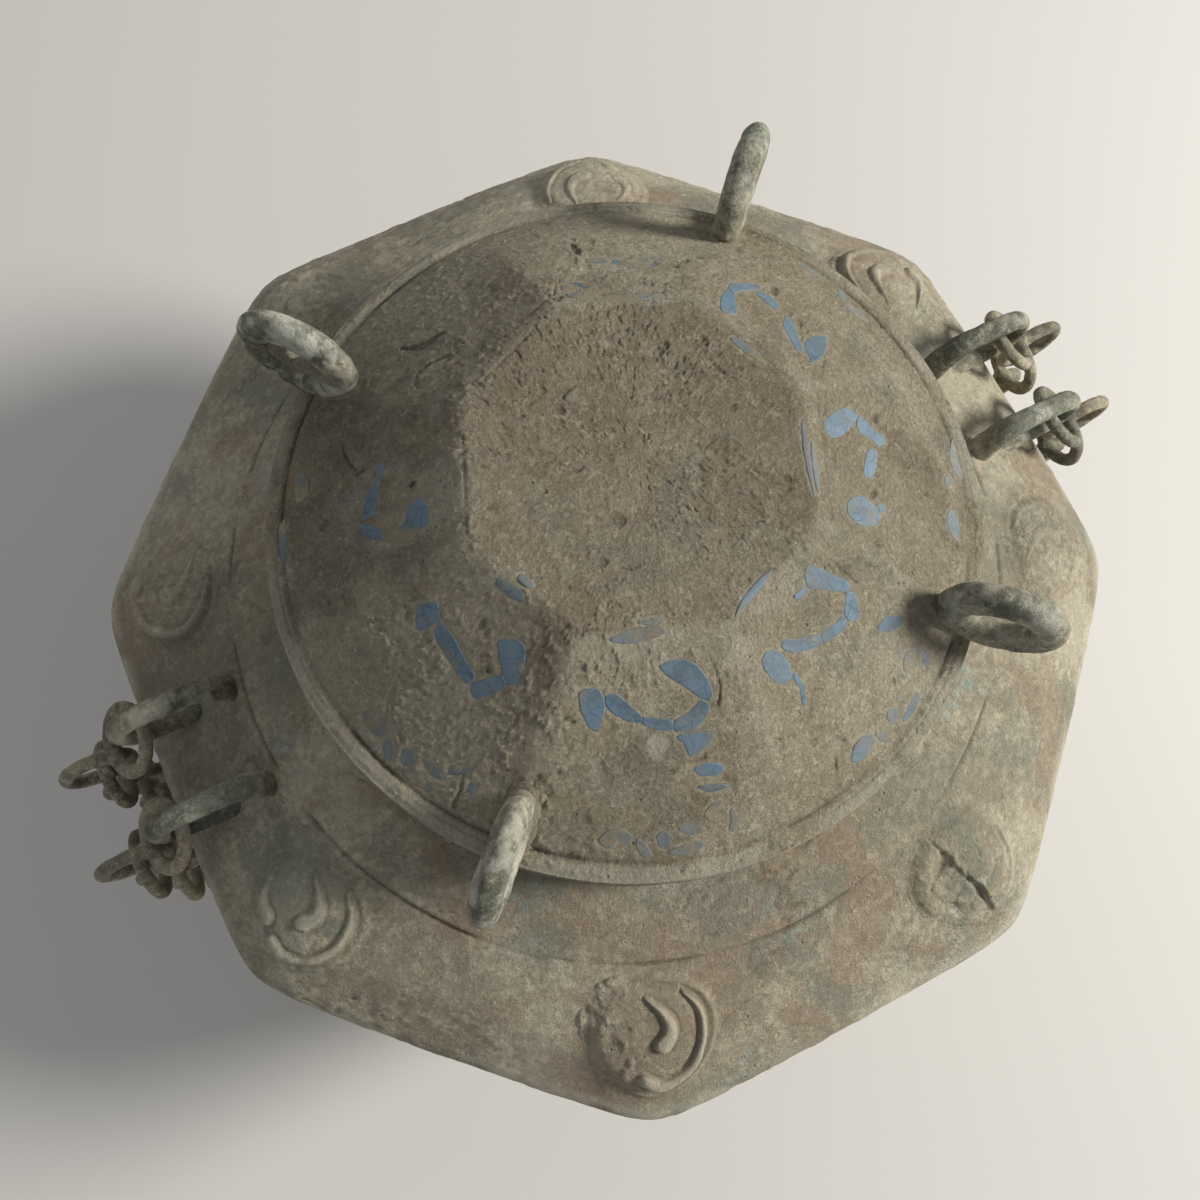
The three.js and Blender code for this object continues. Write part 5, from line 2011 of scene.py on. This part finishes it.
    def build_bottom(self, node: str, side: float, last: Array) -> None:
        """Bottom link of one side: two eyes across the strands' ends, and the bar between them.

        Args:
            node: the node it stands for, which is its body too.
            side: 1 for the right side, -1 for the left.
            last: middle of the lowest eye of a strand.
        """
        across = np.array([0.0, 1.0, 0.0])
        axis = np.array([1.0, 0.0, 0.0])
        sideways = self.spacing / 2 - self.bottom_pitch / 2
        reach = 2 * (self.eye - self.wire / 2 - self.gap / 2) - self.eye
        lower = math.sqrt(max(reach * reach - sideways * sideways, 0.0))
        centre = np.array([last[0], 0.0, last[2] - self.eye - lower])
        half = self.bottom_pitch / 2
        eyes = [self.loop(centre + across * way * half, axis, across, way) for way in (-1, 1)]
        bar = self.neck(centre, across * (half - self.eye + 1.5), axis, self.bottom_neck_half)
        self.fuse(node, [*eyes, bar], 700.0 * side)


@dataclass
class Studio:
    """Floor, lights and the camera at the photograph's viewing angle. Sizes in metres."""

    azimuth: float = -33.8
    elevation: float = 74.4
    roll: float = 7.9
    distance: float = 0.431
    shift_right: float = -0.0058
    shift_up: float = -0.0056
    pivot_height: float = 0.175
    lens: float = 34.5
    sensor: float = 36.0
    nearest: float = 0.01
    lamp_aim: float = 0.16
    floor_half: float = 6.0
    floor_colour: str = "cbc8c2"
    floor_roughness: float = 0.9
    sky_colour: tuple[float, float, float, float] = (0.9, 0.93, 1.0, 1.0)
    sky_strength: float = 0.27

    # Name, place, width, power and tint of each lamp.
    lamps = (
        ("key_lamp", (1.6, -0.71, 1.3), 0.6, 62.0, (1.0, 0.975, 0.93)),
        ("fill_lamp", (-1.2, -0.9, 1.1), 1.2, 3.0, (0.95, 0.97, 1.0)),
        ("back_lamp", (-0.2, 1.5, 1.0), 1.0, 4.0, (1.0, 1.0, 1.0)),
    )

    @staticmethod
    def stand(
        name: str, data: bpy.types.ID, right: Array, up: Array, back: Array, place: Array
    ) -> bpy.types.Object:
        """Puts a camera or lamp into the scene, looking against `back`.

        Args:
            name: the object's name.
            data: the camera or lamp.
            right: unit vector to its right.
            up: unit vector to its top.
            back: unit vector behind it.
            place: where it stands.

        Returns:
            The new object.
        """
        made = MeshMaker.place(name, data)
        matrix = np.eye(4)
        matrix[:3] = np.stack([right, up, back, place], axis=1)
        made.matrix_world = Matrix(matrix.tolist())
        return made

    def build_camera(self) -> None:
        """Camera looking steeply down from over the near side, turned a little about its own axis."""
        az, el, roll = (math.radians(v) for v in (self.azimuth, self.elevation, self.roll))
        back = np.array([math.sin(az) * math.cos(el), -math.cos(az) * math.cos(el), math.sin(el)])
        level = np.array([math.cos(az), math.sin(az), 0.0])
        up = np.cross(back, level)
        right = math.cos(roll) * level + math.sin(roll) * up
        top = -math.sin(roll) * level + math.cos(roll) * up
        place = back * self.distance + right * self.shift_right + top * self.shift_up
        place[2] += self.pivot_height
        data = bpy.data.cameras.new("camera")
        data.lens = self.lens
        data.sensor_width = self.sensor
        data.clip_start = self.nearest
        bpy.context.scene.camera = self.stand("camera", data, right, top, back, place)

    def build_lamps(self) -> None:
        """Soft round lamps that point at the container."""
        for name, place, size, power, tint in self.lamps:
            data = bpy.data.lights.new(name, "AREA")
            data.shape = "DISK"
            data.size = size
            data.energy = power
            data.color = tint
            back = np.array(place) - [0.0, 0.0, self.lamp_aim]
            back /= np.linalg.norm(back)
            side = np.cross([0.0, 0.0, 1.0], back)
            side /= np.linalg.norm(side)
            self.stand(name, data, side, np.cross(back, side), back, np.array(place))

    def build_floor(self) -> None:
        """Pale floor under the container."""
        half = self.floor_half
        corners = np.array([[-half, -half, 0.0], [half, -half, 0.0], [half, half, 0.0], [-half, half, 0.0]])
        floor = MeshMaker.raw("floor", corners, np.array([[0, 1, 2, 3]]))
        material, shader, _ = start_material("floor_pale")
        shader.inputs["Base Color"].default_value = linear(self.floor_colour)
        shader.inputs["Roughness"].default_value = self.floor_roughness
        floor.data.materials.append(material)

    def build(self) -> None:
        """Pale floor, lamps, even world light and camera."""
        self.build_floor()
        self.build_lamps()
        world = bpy.data.worlds.new("even_light")
        world.use_nodes = True
        sky = world.node_tree.nodes["Background"]
        sky.inputs["Color"].default_value = self.sky_colour
        sky.inputs["Strength"].default_value = self.sky_strength
        scene = bpy.context.scene
        scene.world = world
        scene.view_settings.view_transform = "Standard"
        self.build_camera()


def main() -> None:
    """Loads the frame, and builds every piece."""
    logging.basicConfig(level=logging.INFO, format="%(name)s %(message)s")
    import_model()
    finishes = Finishes()
    vessel = Vessel(finishes)
    vessel.build()
    lid = Lid(finishes)
    lid.build()
    LidRings(finishes, lid).build()
    Chains(finishes, vessel).build()
    Studio().build()


if __name__ == "__main__":
    main()
